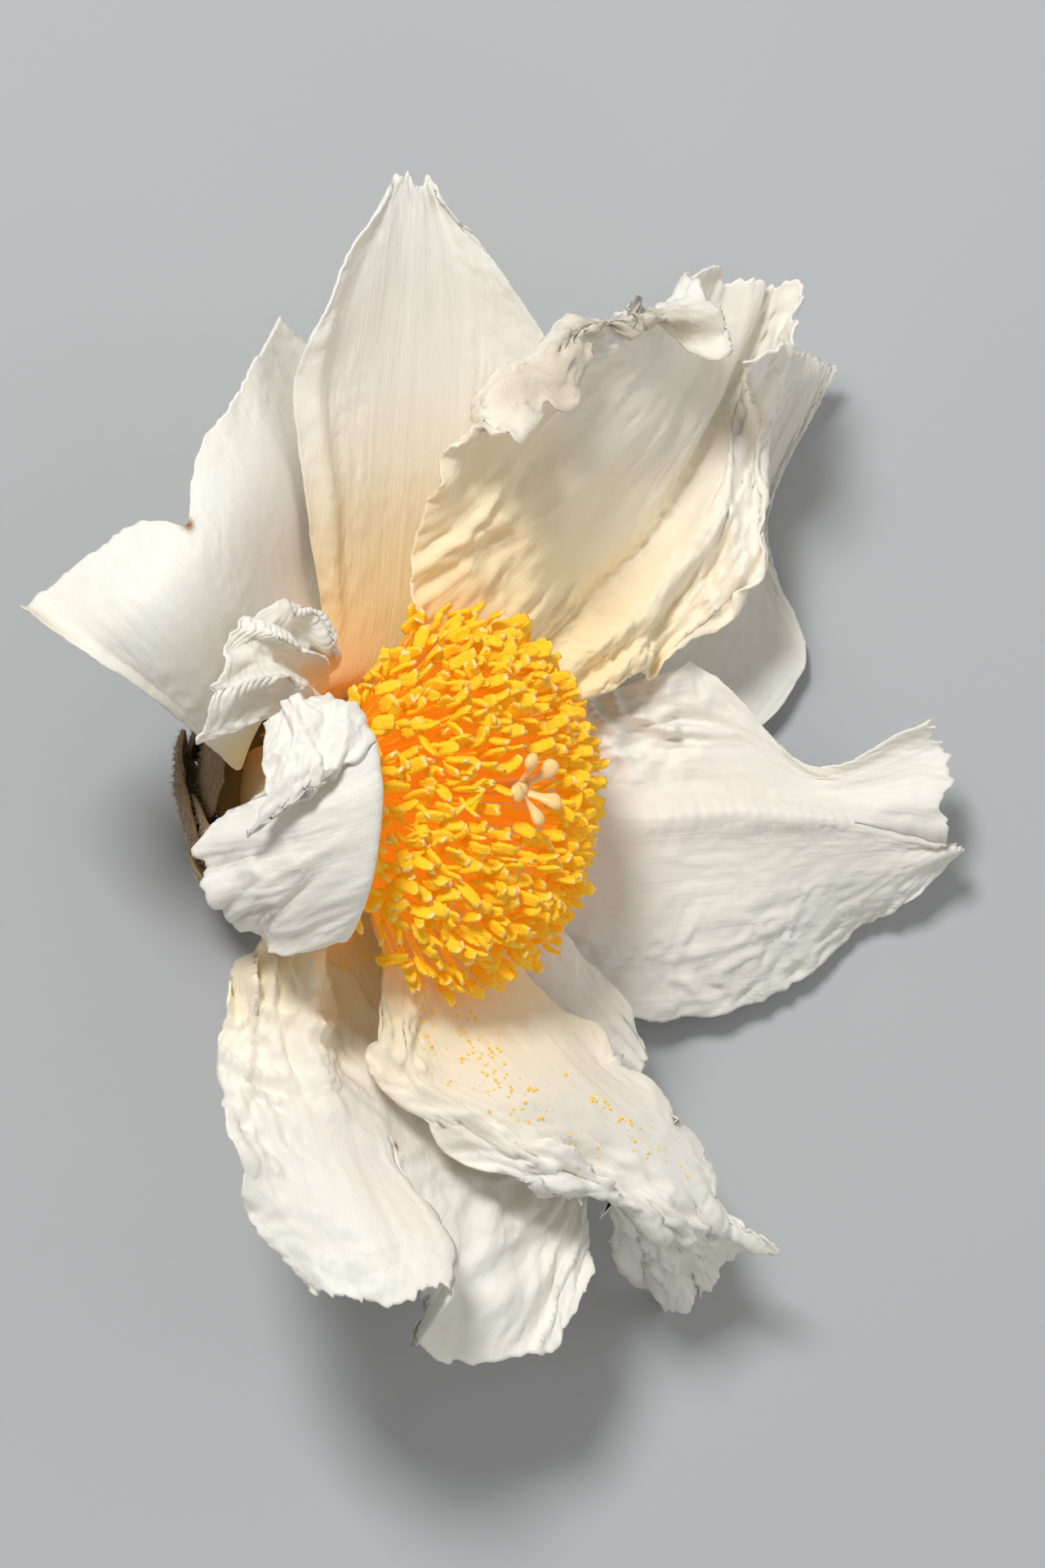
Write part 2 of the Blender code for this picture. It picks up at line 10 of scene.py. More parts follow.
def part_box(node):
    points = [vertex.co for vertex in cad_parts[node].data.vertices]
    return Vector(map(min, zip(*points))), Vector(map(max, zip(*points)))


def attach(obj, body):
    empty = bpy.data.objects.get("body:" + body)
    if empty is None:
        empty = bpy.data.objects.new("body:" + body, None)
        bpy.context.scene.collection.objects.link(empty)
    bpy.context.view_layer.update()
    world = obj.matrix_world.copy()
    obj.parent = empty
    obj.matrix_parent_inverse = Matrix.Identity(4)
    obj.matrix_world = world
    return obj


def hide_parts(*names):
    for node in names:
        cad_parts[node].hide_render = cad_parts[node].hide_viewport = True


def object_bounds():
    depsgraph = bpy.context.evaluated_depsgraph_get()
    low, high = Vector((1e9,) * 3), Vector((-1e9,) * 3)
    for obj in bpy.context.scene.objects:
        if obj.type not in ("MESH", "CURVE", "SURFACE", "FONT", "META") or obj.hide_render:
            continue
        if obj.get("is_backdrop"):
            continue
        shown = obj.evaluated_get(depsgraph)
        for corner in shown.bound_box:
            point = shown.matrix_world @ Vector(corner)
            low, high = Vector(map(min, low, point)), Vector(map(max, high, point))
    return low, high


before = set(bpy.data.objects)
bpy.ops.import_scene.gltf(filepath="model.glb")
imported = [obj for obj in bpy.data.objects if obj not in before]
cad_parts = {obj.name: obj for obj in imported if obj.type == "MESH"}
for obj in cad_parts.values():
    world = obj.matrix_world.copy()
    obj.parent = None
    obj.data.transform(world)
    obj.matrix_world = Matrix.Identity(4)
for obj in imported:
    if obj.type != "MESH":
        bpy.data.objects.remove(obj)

bl_info = {
    "name": "Camellia flower",
    "version": (1, 0, 0),
    "blender": (4, 5, 0),
    "location": "3D View > Sidebar > Camellia",
    "description": "Builds the petals, stamens, pistil and calyx of a camellia flower on its frame",
    "category": "Add Mesh",
}

MM = 0.001

# How the flower grew, and how it lies once picked, in degrees
AXIS_LEAN = 48  # from z towards x
LIE_BACK = 15.1  # turn about y
LIE_OVER = 3.65  # turn about x

# The flower as it grew: x to the right, y up, z towards the front, in millimetres
AXIS = np.array([math.sin(math.radians(AXIS_LEAN)), 0.0, math.cos(math.radians(AXIS_LEAN))])
ACROSS = np.array([math.cos(math.radians(AXIS_LEAN)), 0.0, -math.sin(math.radians(AXIS_LEAN))])
UP = np.array([0.0, 1.0, 0.0])

# For each whorl, the foot and the neck of a claw: distance from the axis, height, half angle
CLAWS = {
    "inner": ((7.0, 0.7, 26), (10.2, 8.4, 27)),
    "outer": ((8.7, -0.6, 25), (13.4, 6.4, 26)),
}
TUCK_AT_FOOT = 0.3

# The cup under the petals and the stub of the stalk: (distance from the axis, height)
RECEPTACLE_PROFILE = (
    (2.1, -10.4), (2.2, -7.6), (3.4, -6.0), (6.4, -3.9), (8.6, -1.9), (7.4, -1.2), (4.0, -0.1),
)
RECEPTACLE_SIDES = 16
SEPAL_PROFILE = ((5.4, -5.9), (9.4, -3.8), (11.9, -1.2), (13.2, 1.4), (13.6, 3.8))
BRACT_PROFILE = ((5.0, -7.4), (9.4, -6.0), (12.4, -3.6), (13.8, -0.8))
SCALE_HALF_ANGLES = (30, 40, 43, 37, 22)
SCALE_TUCK = 0.5
SCALES_ROUND = 5
SEPAL_TURN = 10
BRACT_TURN = 46

PETAL_CELLS = (140, 180)
USUAL_TEETH = 0.5
USUAL_SWELL = 0.4
USUAL_BLUSH = (12, 36)
USUAL_TUCK = (0.0, 0.0)
VEIN_PLEATS = 0.02  # depth in mm of the faint pleats between the main veins
PAPER_DEPTH = 0.20  # depth in mm of the papery unevenness that every petal has
TIP_BITES = 0.008  # share of a petal's length
SIDE_BITES = 0.016  # share of its half width
SLIT_WAVER = 0.05  # share of the half width, as are the bites
SLIT_BITES = 0.02
POLLEN_SEED = 19

# Crinkles of two sizes added up: where the noise is read, then for each size its share, the millimetres
# between folds across and along the petal, and its own seed
EDGE_WRINKLES = (0, ((0.7, 4.4, 4.4, 20), (0.3, 1.8, 1.8, 24)))
PAPER = (5, ((0.6, 2.6, 3.6, 27), (0.4, 1.1, 1.6, 28)))
LONG_FOLDS = (7, ((0.6, 4.2, 17, 25), (0.4, 1.9, 9, 26)))

# The brush of stamens, in mm from the axis and along it
STAMEN_SEED = 48
FILAMENT_FEET = (3.5, 2.2)  # nearest the style, and how much further out the last one stands
FILAMENT_FOOT_HEIGHT = 7.0
FILAMENT_BEND = (0.30, 18.0)  # share of the way out, height
FILAMENT_RINGS = 12
FILAMENT_SIDES = 6
BRUSH_RADII = (3.2, 15.2)
BRUSH_SAG = 2.6  # how much wider the brush is below
BRUSH_HALF_WIDTH = 18
BRUSH_TOP = 35.0
BRUSH_DROOP = 9.0  # how much lower its rim is
TUBE_PROFILE = ((3.3, 7.4), (3.2, 0.8), (5.5, 0.7), (5.9, 4.0), (6.0, 7.2), (5.6, 8.0), (3.9, 8.2))
TUBE_SIDES = 72

STYLE_HEIGHTS = (0.6, 1.2, 2.4, 3.6, 4.8, 6.0, 8.0, 12.0, 18.0, 24.0, 30.0, 34.0, 36.0)
STYLE_RADII = (1.6, 2.3, 2.6, 2.4, 1.7, 1.1, 0.85, 0.8, 0.75, 0.72, 0.70, 0.75, 0.95)
STIGMA_ARMS = 5
STIGMA_HEIGHT = 35.0

WOOL_SEED = 7
HAIRS_PER_SCALE = 800
SCALE_CELLS = 32
SCALE_THICKNESS = 0.45
STALK_SIDES = 48

# Where the camera stands, in the flower's own millimetres
CAMERA_PLACE = (26.55, 0.45, 800)
CAMERA_LENS = 166.7

# Along a petal v runs from 0 at the claw to 1 at the tip, and across it u runs from -1 at its first rib,
# the left edge, to 1 at its last, the right edge. Each petal may have:
# azimuth: of the claw's foot and neck, in degrees. tuck: how far its first and last edge stand out, in mm
# ribs: lines from the claw to the tip, in mm. ragged: unevenness of the tip and the sides, as shares
# ruffle: depth in mm and number of waves. wrinkle: depth and reach from the edge, in mm
# swell, folds: depths in mm. teeth: strength of the fine bites in the border
# blush: mm from the claw where the warm cream begins and stops to fade
# notches: u, depth, width. scallops: side, their borders along the ribs, depth
# parted: u, v where the slit starts, how it pushes its two sides in mm, how wide that spreads
# crumples: u, v, spread over both, depth and grain in mm
# creases: route as (u, v), width, height in mm. left_hem, right_hem: start, radius in mm, angles
# spots: u, v, size in mm. pollen: u, v, spread, number of crumbs
PETALS = {
    "petal_upper_left": {
        "whorl": "outer",
        "azimuth": (130, 136),
        "seed": 1,
        "wrinkle": (0.3, 4.0),
        "folds": 0.15,
        "blush": (12, 24),
        "right_hem": (0.90, 1.4, (20, 40, 30, 0)),
        "spots": ((-0.06, 1.0, 1.3),),
        "ruffle": (0.6, 3),
        "ragged": (0.006, 0.01),
        "notches": ((-0.06, 0.12, 0.14),),
        "left_hem": (0.88, 1.5, (0, 0, 60, 150)),
        "ribs": (
            ((-4.5, 2, 16), (-9.5, 6.5, 28), (-18.5, 14, 36), (-27, 18.5, 33)),
            ((0, 10, 21), (-3, 18, 29), (-6.5, 25.5, 35), (-10.5, 33, 33)),
            ((6.5, 15, 4), (7, 28, 6), (6, 41.5, 10), (0.5, 50.5, 19)),
        ),
    },
    "petal_top": {
        "whorl": "inner",
        "azimuth": (100, 99),
        "tuck": (0, 1.2),
        "seed": 2,
        "wrinkle": (0.35, 4.0),
        "teeth": 0.3,
        "folds": 0.12,
        "blush": (18, 50),
        "creases": (
            (((-0.72, 0.4), (-0.8, 0.6), (-0.9, 0.75)), 0.12, 1.2),
            (((0.9, 0.3), (0.88, 0.5), (0.95, 0.62)), 0.10, 1.3),
        ),
        "notches": ((0.05, 0.035, 0.8),),
        "ruffle": (0.8, 4),
        "ragged": (0.01, 0.02),
        "ribs": (
            ((5, 15.5, 13), (3.5, 31, 22), (3, 45.5, 27), (7.5, 57, 27), (12, 64, 24)),
            ((11, 14, 9), (13, 29, 13), (14.5, 43, 16), (15, 56, 19), (14.5, 67.5, 21)),
            ((21, 15, 0), (27.5, 28, 5), (31, 43, 9), (25, 55, 15), (17.5, 63.5, 20)),
        ),
    },
    "petal_upper_right": {
        "whorl": "inner",
        "azimuth": (40, 42),
        "tuck": (-0.6, 0.3),
        "seed": 3,
        "wrinkle": (0.9, 5.0),
        "teeth": 0.5,
        "swell": 1.0,
        "folds": 1.8,
        "blush": (22, 68),
        "scallops": ((-1, (3.7, 4.3, 4.95, 5.6, 6.1), 0.11),),
        "right_hem": (0.88, 1.8, (70, 90, 90, 60, 20)),
        "crumples": (
            (-0.65, 0.52, 0.3, 0.10, 1.5, 6.5), (0.75, 0.58, 0.40, 0.2, 2.2, 5.2),
            (0.6, 0.36, 0.35, 0.10, 1.7, 3.6), (-0.85, 0.86, 0.25, 0.2, 1.2, 3.4),
        ),
        "creases": (
            (((0.05, 0.25), (0.15, 0.5), (0.22, 0.75), (0.2, 0.98)), 0.13, -3.2),
            (((0.35, 0.35), (0.42, 0.6), (0.45, 0.9)), 0.16, 2.6),
            (((-0.35, 0.35), (-0.3, 0.6), (-0.35, 0.8)), 0.12, 1.1),
        ),
        "ruffle": (1.4, 5),
        "ragged": (0.02, 0.01),
        "left_hem": (0.8, 1.7, (0, 0, 100, 178, 70)),
        "ribs": (
            ((14, 17, 17), (16, 28.5, 21), (19.5, 46, 25), (35, 55, 16), (50, 50, 10)),
            ((20.5, 14.5, 9), (24.5, 25, 11), (31, 38, 10), (41, 48, 4), (45.5, 56, 0)),
            ((26.5, 14, 2), (34, 23, -4), (41, 31.5, -8), (48, 42.5, -10), (52, 57, -9)),
            ((31, 12, -3), (39.5, 18.5, -8), (47.5, 28.5, -11), (51.5, 40.5, -13), (58, 54, -6)),
            ((35, 11, -6), (42, 13.5, -9), (53.5, 24, -9), (55, 38.5, -10), (54, 47.5, 6)),
        ),
    },
    "petal_upper_right_back": {
        "whorl": "outer",
        "azimuth": (58, 54),
        "tuck": (0, 0.8),
        "seed": 4,
        "wrinkle": (0.4, 5.0),
        "folds": 0.3,
        "blush": (8, 16),
        "ruffle": (0.6, 3),
        "ragged": (0.006, 0.02),
        "ribs": (
            ((30, 22.5, -9), (38.5, 33.5, -15), (47, 44.5, -19), (55.5, 49, -20)),
            ((35.5, 12.5, -15), (46, 21.5, -22), (51.5, 35, -25), (59, 49, -24)),
            ((44, 3, -20), (58.5, 13.5, -26), (54, 30.5, -28), (62, 48, -27)),
        ),
    },
    "petal_right": {
        "whorl": "outer",
        "azimuth": (2, 0),
        "seed": 5,
        "wrinkle": (0.5, 5.0),
        "swell": 0.5,
        "folds": 0.35,
        "blush": (10, 22),
        "crumples": (
            (-0.7, 0.47, 0.35, 0.13, 2.6, 4.2), (0.85, 0.6, 0.35, 0.3, 0.6, 2.8),
            (-0.3, 0.6, 0.5, 0.3, 0.35, 5.0),
        ),
        "creases": (
            (((-0.02, 0.3), (-0.02, 0.6), (0.0, 0.84)), 0.12, 1.8),
            (((-0.2, 0.3), (-0.22, 0.85)), 0.14, -1.0),
        ),
        "ruffle": (1.2, 5),
        "ragged": (0.015, 0.02),
        "parted": ((0, 0.84, (0, 0.8, 0.5), (0, -0.8, 0), 0.4),),
        "ribs": (
            ((36, 11, -11), (46.5, 13.5, -14), (59, 2.5, -18), (72, 8, -19)),
            ((35.5, 3.5, -11), (47.5, 4.5, -14), (59.5, 0, -18), (74.5, 3, -21)),
            ((35.5, -3.5, -9), (48.5, -3, -13), (60.5, -3.5, -16), (74, -5, -21)),
            ((35, -14, -10), (49.5, -13.5, -14), (62.5, -9.5, -19), (75, -6, -23)),
            ((34.5, -24, -12), (50.5, -25, -20), (65.5, -16.5, -25), (76.5, -7, -25)),
        ),
    },
    "petal_lower_right": {
        "whorl": "inner",
        "azimuth": (312, 312),
        "tuck": (-0.2, -0.6),
        "seed": 6,
        "wrinkle": (0.5, 6.0),
        "swell": 1.1,
        "scallops": (
            (-1, (2.6, 3.1, 3.7, 4.2, 4.8, 5.5), 0.14), (1, (2.8, 3.4, 4.1, 4.5, 4.9, 5.3), 0.16),
        ),
        "folds": 0.16,
        "blush": (18, 58),
        "crumples": (
            (0.7, 0.46, 0.5, 0.13, 1.8, 5.4), (0.5, 0.68, 0.6, 0.10, 3.2, 4.6),
            (0.0, 0.87, 1.0, 0.10, 1.3, 4.6),
        ),
        "ruffle": (1.2, 5),
        "ragged": (0.02, 0.02),
        "pollen": ((0.5, 0.36, 0.05, 70), (0.1, 0.48, 0.06, 90), (-0.5, 0.62, 0.05, 40)),
        "ribs": (
            ((25, -17.5, 3), (36, -28.5, 2), (45.5, -39.5, -1), (48, -46.5, -3), (55, -51, -6)),
            ((21.5, -19, 8), (30, -30, 9), (41, -40.5, 4), (45.5, -47.5, 0), (50.5, -53.5, -9)),
            ((18, -20, 12), (25, -32.5, 14), (36.5, -41.5, 8), (42.5, -48.5, 3), (46.5, -57, -14)),
            ((14.5, -19, 16), (18.5, -33, 18), (31.5, -41, 14), (39.5, -48.5, 4), (41.5, -58.5, -17)),
            ((11, -16, 19), (12.5, -30, 21), (26.5, -41.5, 17), (36.5, -46.5, 5), (35.5, -52.5, -15)),
        ),
    },
    "petal_lower_right_back": {
        "whorl": "outer",
        "azimuth": (306, 307),
        "tuck": (-0.9, 0),
        "seed": 7,
        "wrinkle": (0.5, 5.0),
        "folds": 0.5,
        "blush": (10, 20),
        "ruffle": (0.8, 4),
        "ragged": (0.01, 0.02),
        "ribs": (
            ((30, -15, -3), (35, -20.5, -6), (40, -28, -9)),
            ((26.5, -17.5, -1), (33, -25, -4), (39.5, -31.5, -8)),
            ((22, -21, 0), (28.5, -28.5, -2), (35.5, -33, -5)),
        ),
    },
    "petal_bottom": {
        "whorl": "outer",
        "azimuth": (248, 248),
        "tuck": (0.4, 0),
        "seed": 8,
        "wrinkle": (0.55, 8.0),
        "swell": 0.7,
        "scallops": ((1, (2.2, 2.9, 3.5, 4.1, 5.0), 0.07),),
        "folds": 0.16,
        "blush": (12, 42),
        "crumples": (
            (0.95, 0.52, 0.35, 0.24, 3.2, 3.6), (0.2, 0.56, 0.4, 0.14, 1.8, 4.8),
            (-0.6, 0.85, 0.4, 0.2, 1.5, 4.8),
        ),
        "creases": (
            (((0.35, 0.32), (0.4, 0.5), (0.3, 0.66)), 0.14, 2.8), (((-0.35, 0.72), (-0.4, 0.98)), 0.14, 1.6),
        ),
        "spots": ((-0.02, 0.735, 0.9),),
        "ruffle": (1.2, 5),
        "ragged": (0.012, 0.02),
        "parted": ((0, 0.72, (-4, -3.5, -5), (1, 2.5, 3), 0.4),),
        "pollen": ((-0.4, 0.5, 0.06, 30),),
        "ribs": (
            ((12.5, -14.5, 3), (24, -30, 2), (32.5, -43.5, 0), (34, -53.5, 4)),
            ((9, -16.5, 9), (16.5, -30, 9), (25, -46, 8), (29, -61, 10)),
            ((5.5, -16.5, 15), (9, -29.5, 17), (14.5, -42.5, 20), (18.5, -56.5, 24)),
            ((2, -15.5, 19), (2, -28.5, 24), (5, -41, 28), (10.5, -55, 30)),
            ((-1.5, -12.5, 20), (-4.5, -25.5, 26), (-3.5, -39.5, 31), (3.5, -52.5, 31)),
        ),
    },
    "petal_near_left": {
        "whorl": "inner",
        "azimuth": (230, 224),
        "tuck": (0, -0.8),
        "seed": 9,
        "wrinkle": (0.5, 5.0),
        "teeth": 0.3,
        "swell": 0.9,
        "folds": 0.6,
        "blush": (10, 20),
        "crumples": ((0.75, 0.75, 0.5, 0.3, 1.3, 4.4), (-0.6, 0.85, 0.4, 0.2, 0.8, 4.0)),
        "ruffle": (1, 4),
        "ragged": (0.015, 0.02),
        "parted": ((0.3, 0.60, (0.3, 0.8, -2.0), (0.5, -3.0, 4.5), 0.40),),
        "ribs": (
            ((6, -13, 26), (7.5, -16, 35), (3, -17, 34), (-1.5, -15.5, 28)),
            ((6.5, -6, 32), (11, -9, 41), (3.5, -9, 41), (-6, -11.5, 34)),
            ((6, 0, 34), (11.5, 0.5, 43), (4, -3, 43), (-7, -6, 35)),
            ((6, 5, 33), (10, 7, 41), (5, 4, 44), (-0.5, 0.5, 41)),
            ((5.5, 8, 30), (6, 10, 38), (2, 9.5, 42), (-1, 7, 41)),
        ),
    },
    "petal_near_left_upper": {
        "whorl": "inner",
        "azimuth": (172, 168),
        "tuck": (0.9, 0),
        "seed": 10,
        "wrinkle": (0.4, 6.0),
        "teeth": 0.1,
        "swell": 0.8,
        "folds": 0.4,
        "blush": (10, 22),
        "crumples": ((0.0, 0.8, 1.0, 0.3, 1.4, 4.2),),
        "creases": (
            (((-0.6, 0.45), (-0.65, 1.0)), 0.12, 2.6), (((-0.1, 0.45), (-0.1, 1.0)), 0.12, 3.0),
            (((0.45, 0.45), (0.5, 1.0)), 0.12, 2.6),
        ),
        "ruffle": (1.4, 5),
        "ragged": (0.03, 0.02),
        "ribs": (
            ((3, 4.5, 22), (0.5, 7.5, 31), (-8, 5, 38)),
            ((3.5, 9, 23), (-0.5, 13, 33), (-6, 11.5, 40)),
            ((4, 12, 22), (1, 16, 31), (-2.5, 18, 36)),
            ((5, 13.5, 20), (4.5, 17, 28), (1.5, 20, 32)),
            ((5.5, 14.5, 18), (6, 15.5, 23), (6.5, 16.5, 26)),
        ),
    },
}


def linear(colour):
    """An sRGB colour such as "#FFAA00" as three linear numbers."""
    shares = [int(colour[k:k + 2], 16) / 255 for k in (1, 3, 5)]
    return [c / 12.92 if c <= 0.04045 else ((c + 0.055) / 1.055) ** 2.4 for c in shares]


def colour_property(name, description, default):
    return bpy.props.FloatVectorProperty(
        name=name, description=description, default=linear(default), subtype="COLOR", min=0, max=1
    )


def length_property(name, description, default):
    """A length in metres, given in millimetres."""
    return bpy.props.FloatProperty(
        name=name, description=description, default=default * MM, subtype="DISTANCE", unit="LENGTH", min=0
    )


class CamelliaSizes(bpy.types.PropertyGroup):
    """Sizes that a user would change."""

    petal_thickness: length_property("Petal thickness", "Thickness of a petal's sheet", 0.28)
    crumple: bpy.props.FloatProperty(
        name="Crumple", description="Depth of all the wrinkles, 1 as grown",
        default=1.0, min=0, max=2, subtype="FACTOR",
    )
    stamens: bpy.props.IntProperty(
        name="Stamens", description="How many stamens stand round the style", default=620, min=20, max=700
    )
    filament_thickness: length_property("Filament thickness", "Thickness of a stamen's filament", 0.42)
    anther_length: length_property("Anther length", "Length of the pollen sacs", 3.1)
    anther_width: length_property("Anther width", "Width across both pollen sacs", 1.25)
    hair_length: length_property("Hair length", "Length of the wool on the calyx", 0.9)


class CamelliaColours(bpy.types.PropertyGroup):
    """Colours that a user would change."""

    petal: colour_property("Petal", "The petals' white", "#F5F3EC")
    blush: colour_property("Blush", "The petals' warm cream near their foot", "#FFE4B2")
    filament: colour_property("Filament", "Upper part of a filament", "#FFBC2C")
    filament_foot: colour_property("Filament foot", "Lower part of a filament", "#FFAC1C")
    pollen: colour_property("Pollen", "Ripe pollen on the anthers", "#FFC61C")
    connective: colour_property("Connective", "The pale back and tip of an anther", "#FFD79A")
    stigma: colour_property("Stigma", "Style and stigma arms", "#FFD9A0")
    scale: colour_property("Calyx", "Sepals and bracts under their wool", "#9C8468")
    wool: colour_property("Wool", "Silky hair on the calyx", "#D8C8AE")
    stalk: colour_property("Stalk", "Bark of the stalk's stub", "#6A6B3A")
    floor: colour_property("Floor", "The plain floor", "#B4B8BD")


def rotation(axis, degrees):
    return np.array(Matrix.Rotation(math.radians(degrees), 3, axis))


TURN = rotation("X", LIE_OVER) @ rotation("Y", -LIE_BACK)


def round_axis(radius, azimuth, height):
    """A point given by its distance from the axis, its angle round it and its height along it."""
    angle = np.radians(azimuth)
    across = np.multiply.outer(radius * np.cos(angle), ACROSS)
    upward = np.multiply.outer(radius * np.sin(angle), UP)
    return across + upward + np.multiply.outer(height, AXIS)


def flower_origin():
    """Where the flower's own origin lies on the frame, from the receptacle's box."""
    low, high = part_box("receptacle")
    azimuths = np.arange(RECEPTACLE_SIDES) * 360 / RECEPTACLE_SIDES
    rings = [round_axis(radius, azimuths, height + 0 * azimuths) for radius, height in RECEPTACLE_PROFILE]
    turned = np.concatenate(rings) @ TURN.T * MM
    return (np.array(low) + np.array(high)) / 2 - (turned.min(axis=0) + turned.max(axis=0)) / 2


ORIGIN = flower_origin()


def laid(points):
    """Points of the flower as it grew, in millimetres, where they lie on the frame, in metres."""
    return np.asarray(points, float) @ TURN.T * MM + ORIGIN


def unit(vectors):
    return vectors / np.maximum(np.linalg.norm(vectors, axis=-1, keepdims=True), 1e-9)


def ease(x):
    """0 below 0, 1 above 1 and smooth between."""
    x = np.clip(x, 0, 1)
    return x * x * (3 - 2 * x)


def blend_four(p0, p1, p2, p3, f):
    """Catmull-Rom between p1 and p2."""
    bend = (2 * p0 - 5 * p1 + 4 * p2 - p3) * f**2
    return 0.5 * (2 * p1 + (p2 - p0) * f + bend + (3 * p1 - p0 - 3 * p2 + p3) * f**3)


def along(points, at):
    """A smooth curve through points 0, 1, 2..., read at each number in at."""
    points = np.asarray(points, float)
    at = np.asarray(at, float)
    cell = np.clip(np.floor(at).astype(int), 0, len(points) - 2)
    before = 2 * points[:1] - points[1:2]
    after = 2 * points[-1:] - points[-2:-1]
    known = np.concatenate([before, points, after])
    return blend_four(*(known[cell + k] for k in range(4)), (at - cell)[..., None])


def ripple(x, y, seed):
    """Smooth noise between -1 and 1."""
    table = np.random.default_rng(seed).uniform(-1, 1, (64, 64))
    column = np.floor(x).astype(int)
    row = np.floor(y).astype(int)
    fx = ease(x - column)
    fy = ease(y - row)
    near = table[column % 64, row % 64] * (1 - fx) + table[(column + 1) % 64, row % 64] * fx
    far = table[column % 64, (row + 1) % 64] * (1 - fx) + table[(column + 1) % 64, (row + 1) % 64] * fx
    return near * (1 - fy) + far * fy


def crinkle(x, y, seed):
    """Noise with soft hollows between sharp folds, as in crumpled tissue, between -1 and 1."""
    bent_x = x + 0.7 * ripple(x * 0.6, y * 0.6, seed + 11)
    bent_y = y + 0.7 * ripple(x * 0.6, y * 0.6, seed + 12)
    total = 0.0
    for octave, share in enumerate((0.62, 0.28, 0.10)):
        size = 1.9**octave
        total = total + share * (1 - 2.2 * np.abs(ripple(bent_x * size, bent_y * size, seed + octave)))
    return total


def normals(grid):
    """The direction that each point of a petal's inner face looks."""
    return unit(np.cross(np.gradient(grid, axis=1), np.gradient(grid, axis=0)))


def rolled(grid, share, start, radius, angles, side):
    """The columns past start, wound over a round edge by an angle given for each row."""
    result = grid.copy()
    first = int(np.searchsorted(share, start))
    facing = normals(grid)
    steps = np.linalg.norm(np.diff(grid, axis=1), axis=2)
    for row, angle in enumerate(angles):
        ahead = unit(grid[row, first] - grid[row, first - 1])
        over = facing[row, first] - (facing[row, first] @ ahead) * ahead
        over = unit(over) * side
        place = grid[row, first].copy()
        turned = 0.0
        for column in range(first + 1, grid.shape[1]):
            step = steps[row, column - 1]
            after = min(math.radians(angle), turned + step / radius)
            middle = (turned + after) / 2
            place = place + step * (math.cos(middle) * ahead + math.sin(middle) * over)
            turned = after
            result[row, column] = place
    return result


def claw_corners(petal, way):
    """Foot and neck of the rib that is way across the petal, 1 at the left edge, -1 at the right."""
    tuck = petal.get("tuck", USUAL_TUCK)
    outward = tuck[0] * max(way, 0) + tuck[1] * max(-way, 0)
    claws = CLAWS[petal["whorl"]]
    corners = []
    for azimuth, (radius, height, half), share in zip(petal["azimuth"], claws, (TUCK_AT_FOOT, 1)):
        corners.append(round_axis(radius + outward * share, azimuth + way * half, height))
    return corners


def lofted(ribs, across, stations):
    """Points between the ribs: across runs from -1 to 1, stations number each rib's points."""
    lanes = np.array([along(rib, stations) for rib in ribs])
    if len(ribs) == 3:
        w = across[..., None]
        return lanes[0] * (w * w - w) / 2 + lanes[1] * (1 - w * w) + lanes[2] * (w * w + w) / 2
    place = (across + 1) / 2 * (len(ribs) - 1)
    cell = np.clip(np.floor(place).astype(int), 0, len(ribs) - 2)
    known = np.concatenate([2 * lanes[:1] - lanes[1:2], lanes, 2 * lanes[-1:] - lanes[-2:-1]])
    rows, columns = np.indices(across.shape)
    four = (known[cell + k, rows, columns] for k in range(4))
    return blend_four(*four, (place - cell)[..., None])


def sheet_millimetres(grid):
    """How far each point lies from the middle line and from the claw, measured over the sheet."""
    sideways = np.cumsum(np.linalg.norm(np.diff(grid, axis=1, prepend=grid[:, :1]), axis=2), axis=1)
    sideways = sideways - sideways[:, grid.shape[1] // 2][:, None]
    lengthways = np.cumsum(np.linalg.norm(np.diff(grid, axis=0, prepend=grid[:1]), axis=2), axis=0)
    return sideways, lengthways


def petal_ribs(petal):
    """Each rib's points, after the foot and the neck of its claw."""
    count = len(petal["ribs"])
    ribs = []
    for number, points in enumerate(petal["ribs"]):
        corners = claw_corners(petal, 1 - 2 * number / (count - 1))
        ribs.append(np.array(corners + [np.array(point, float) for point in points]))
    return ribs


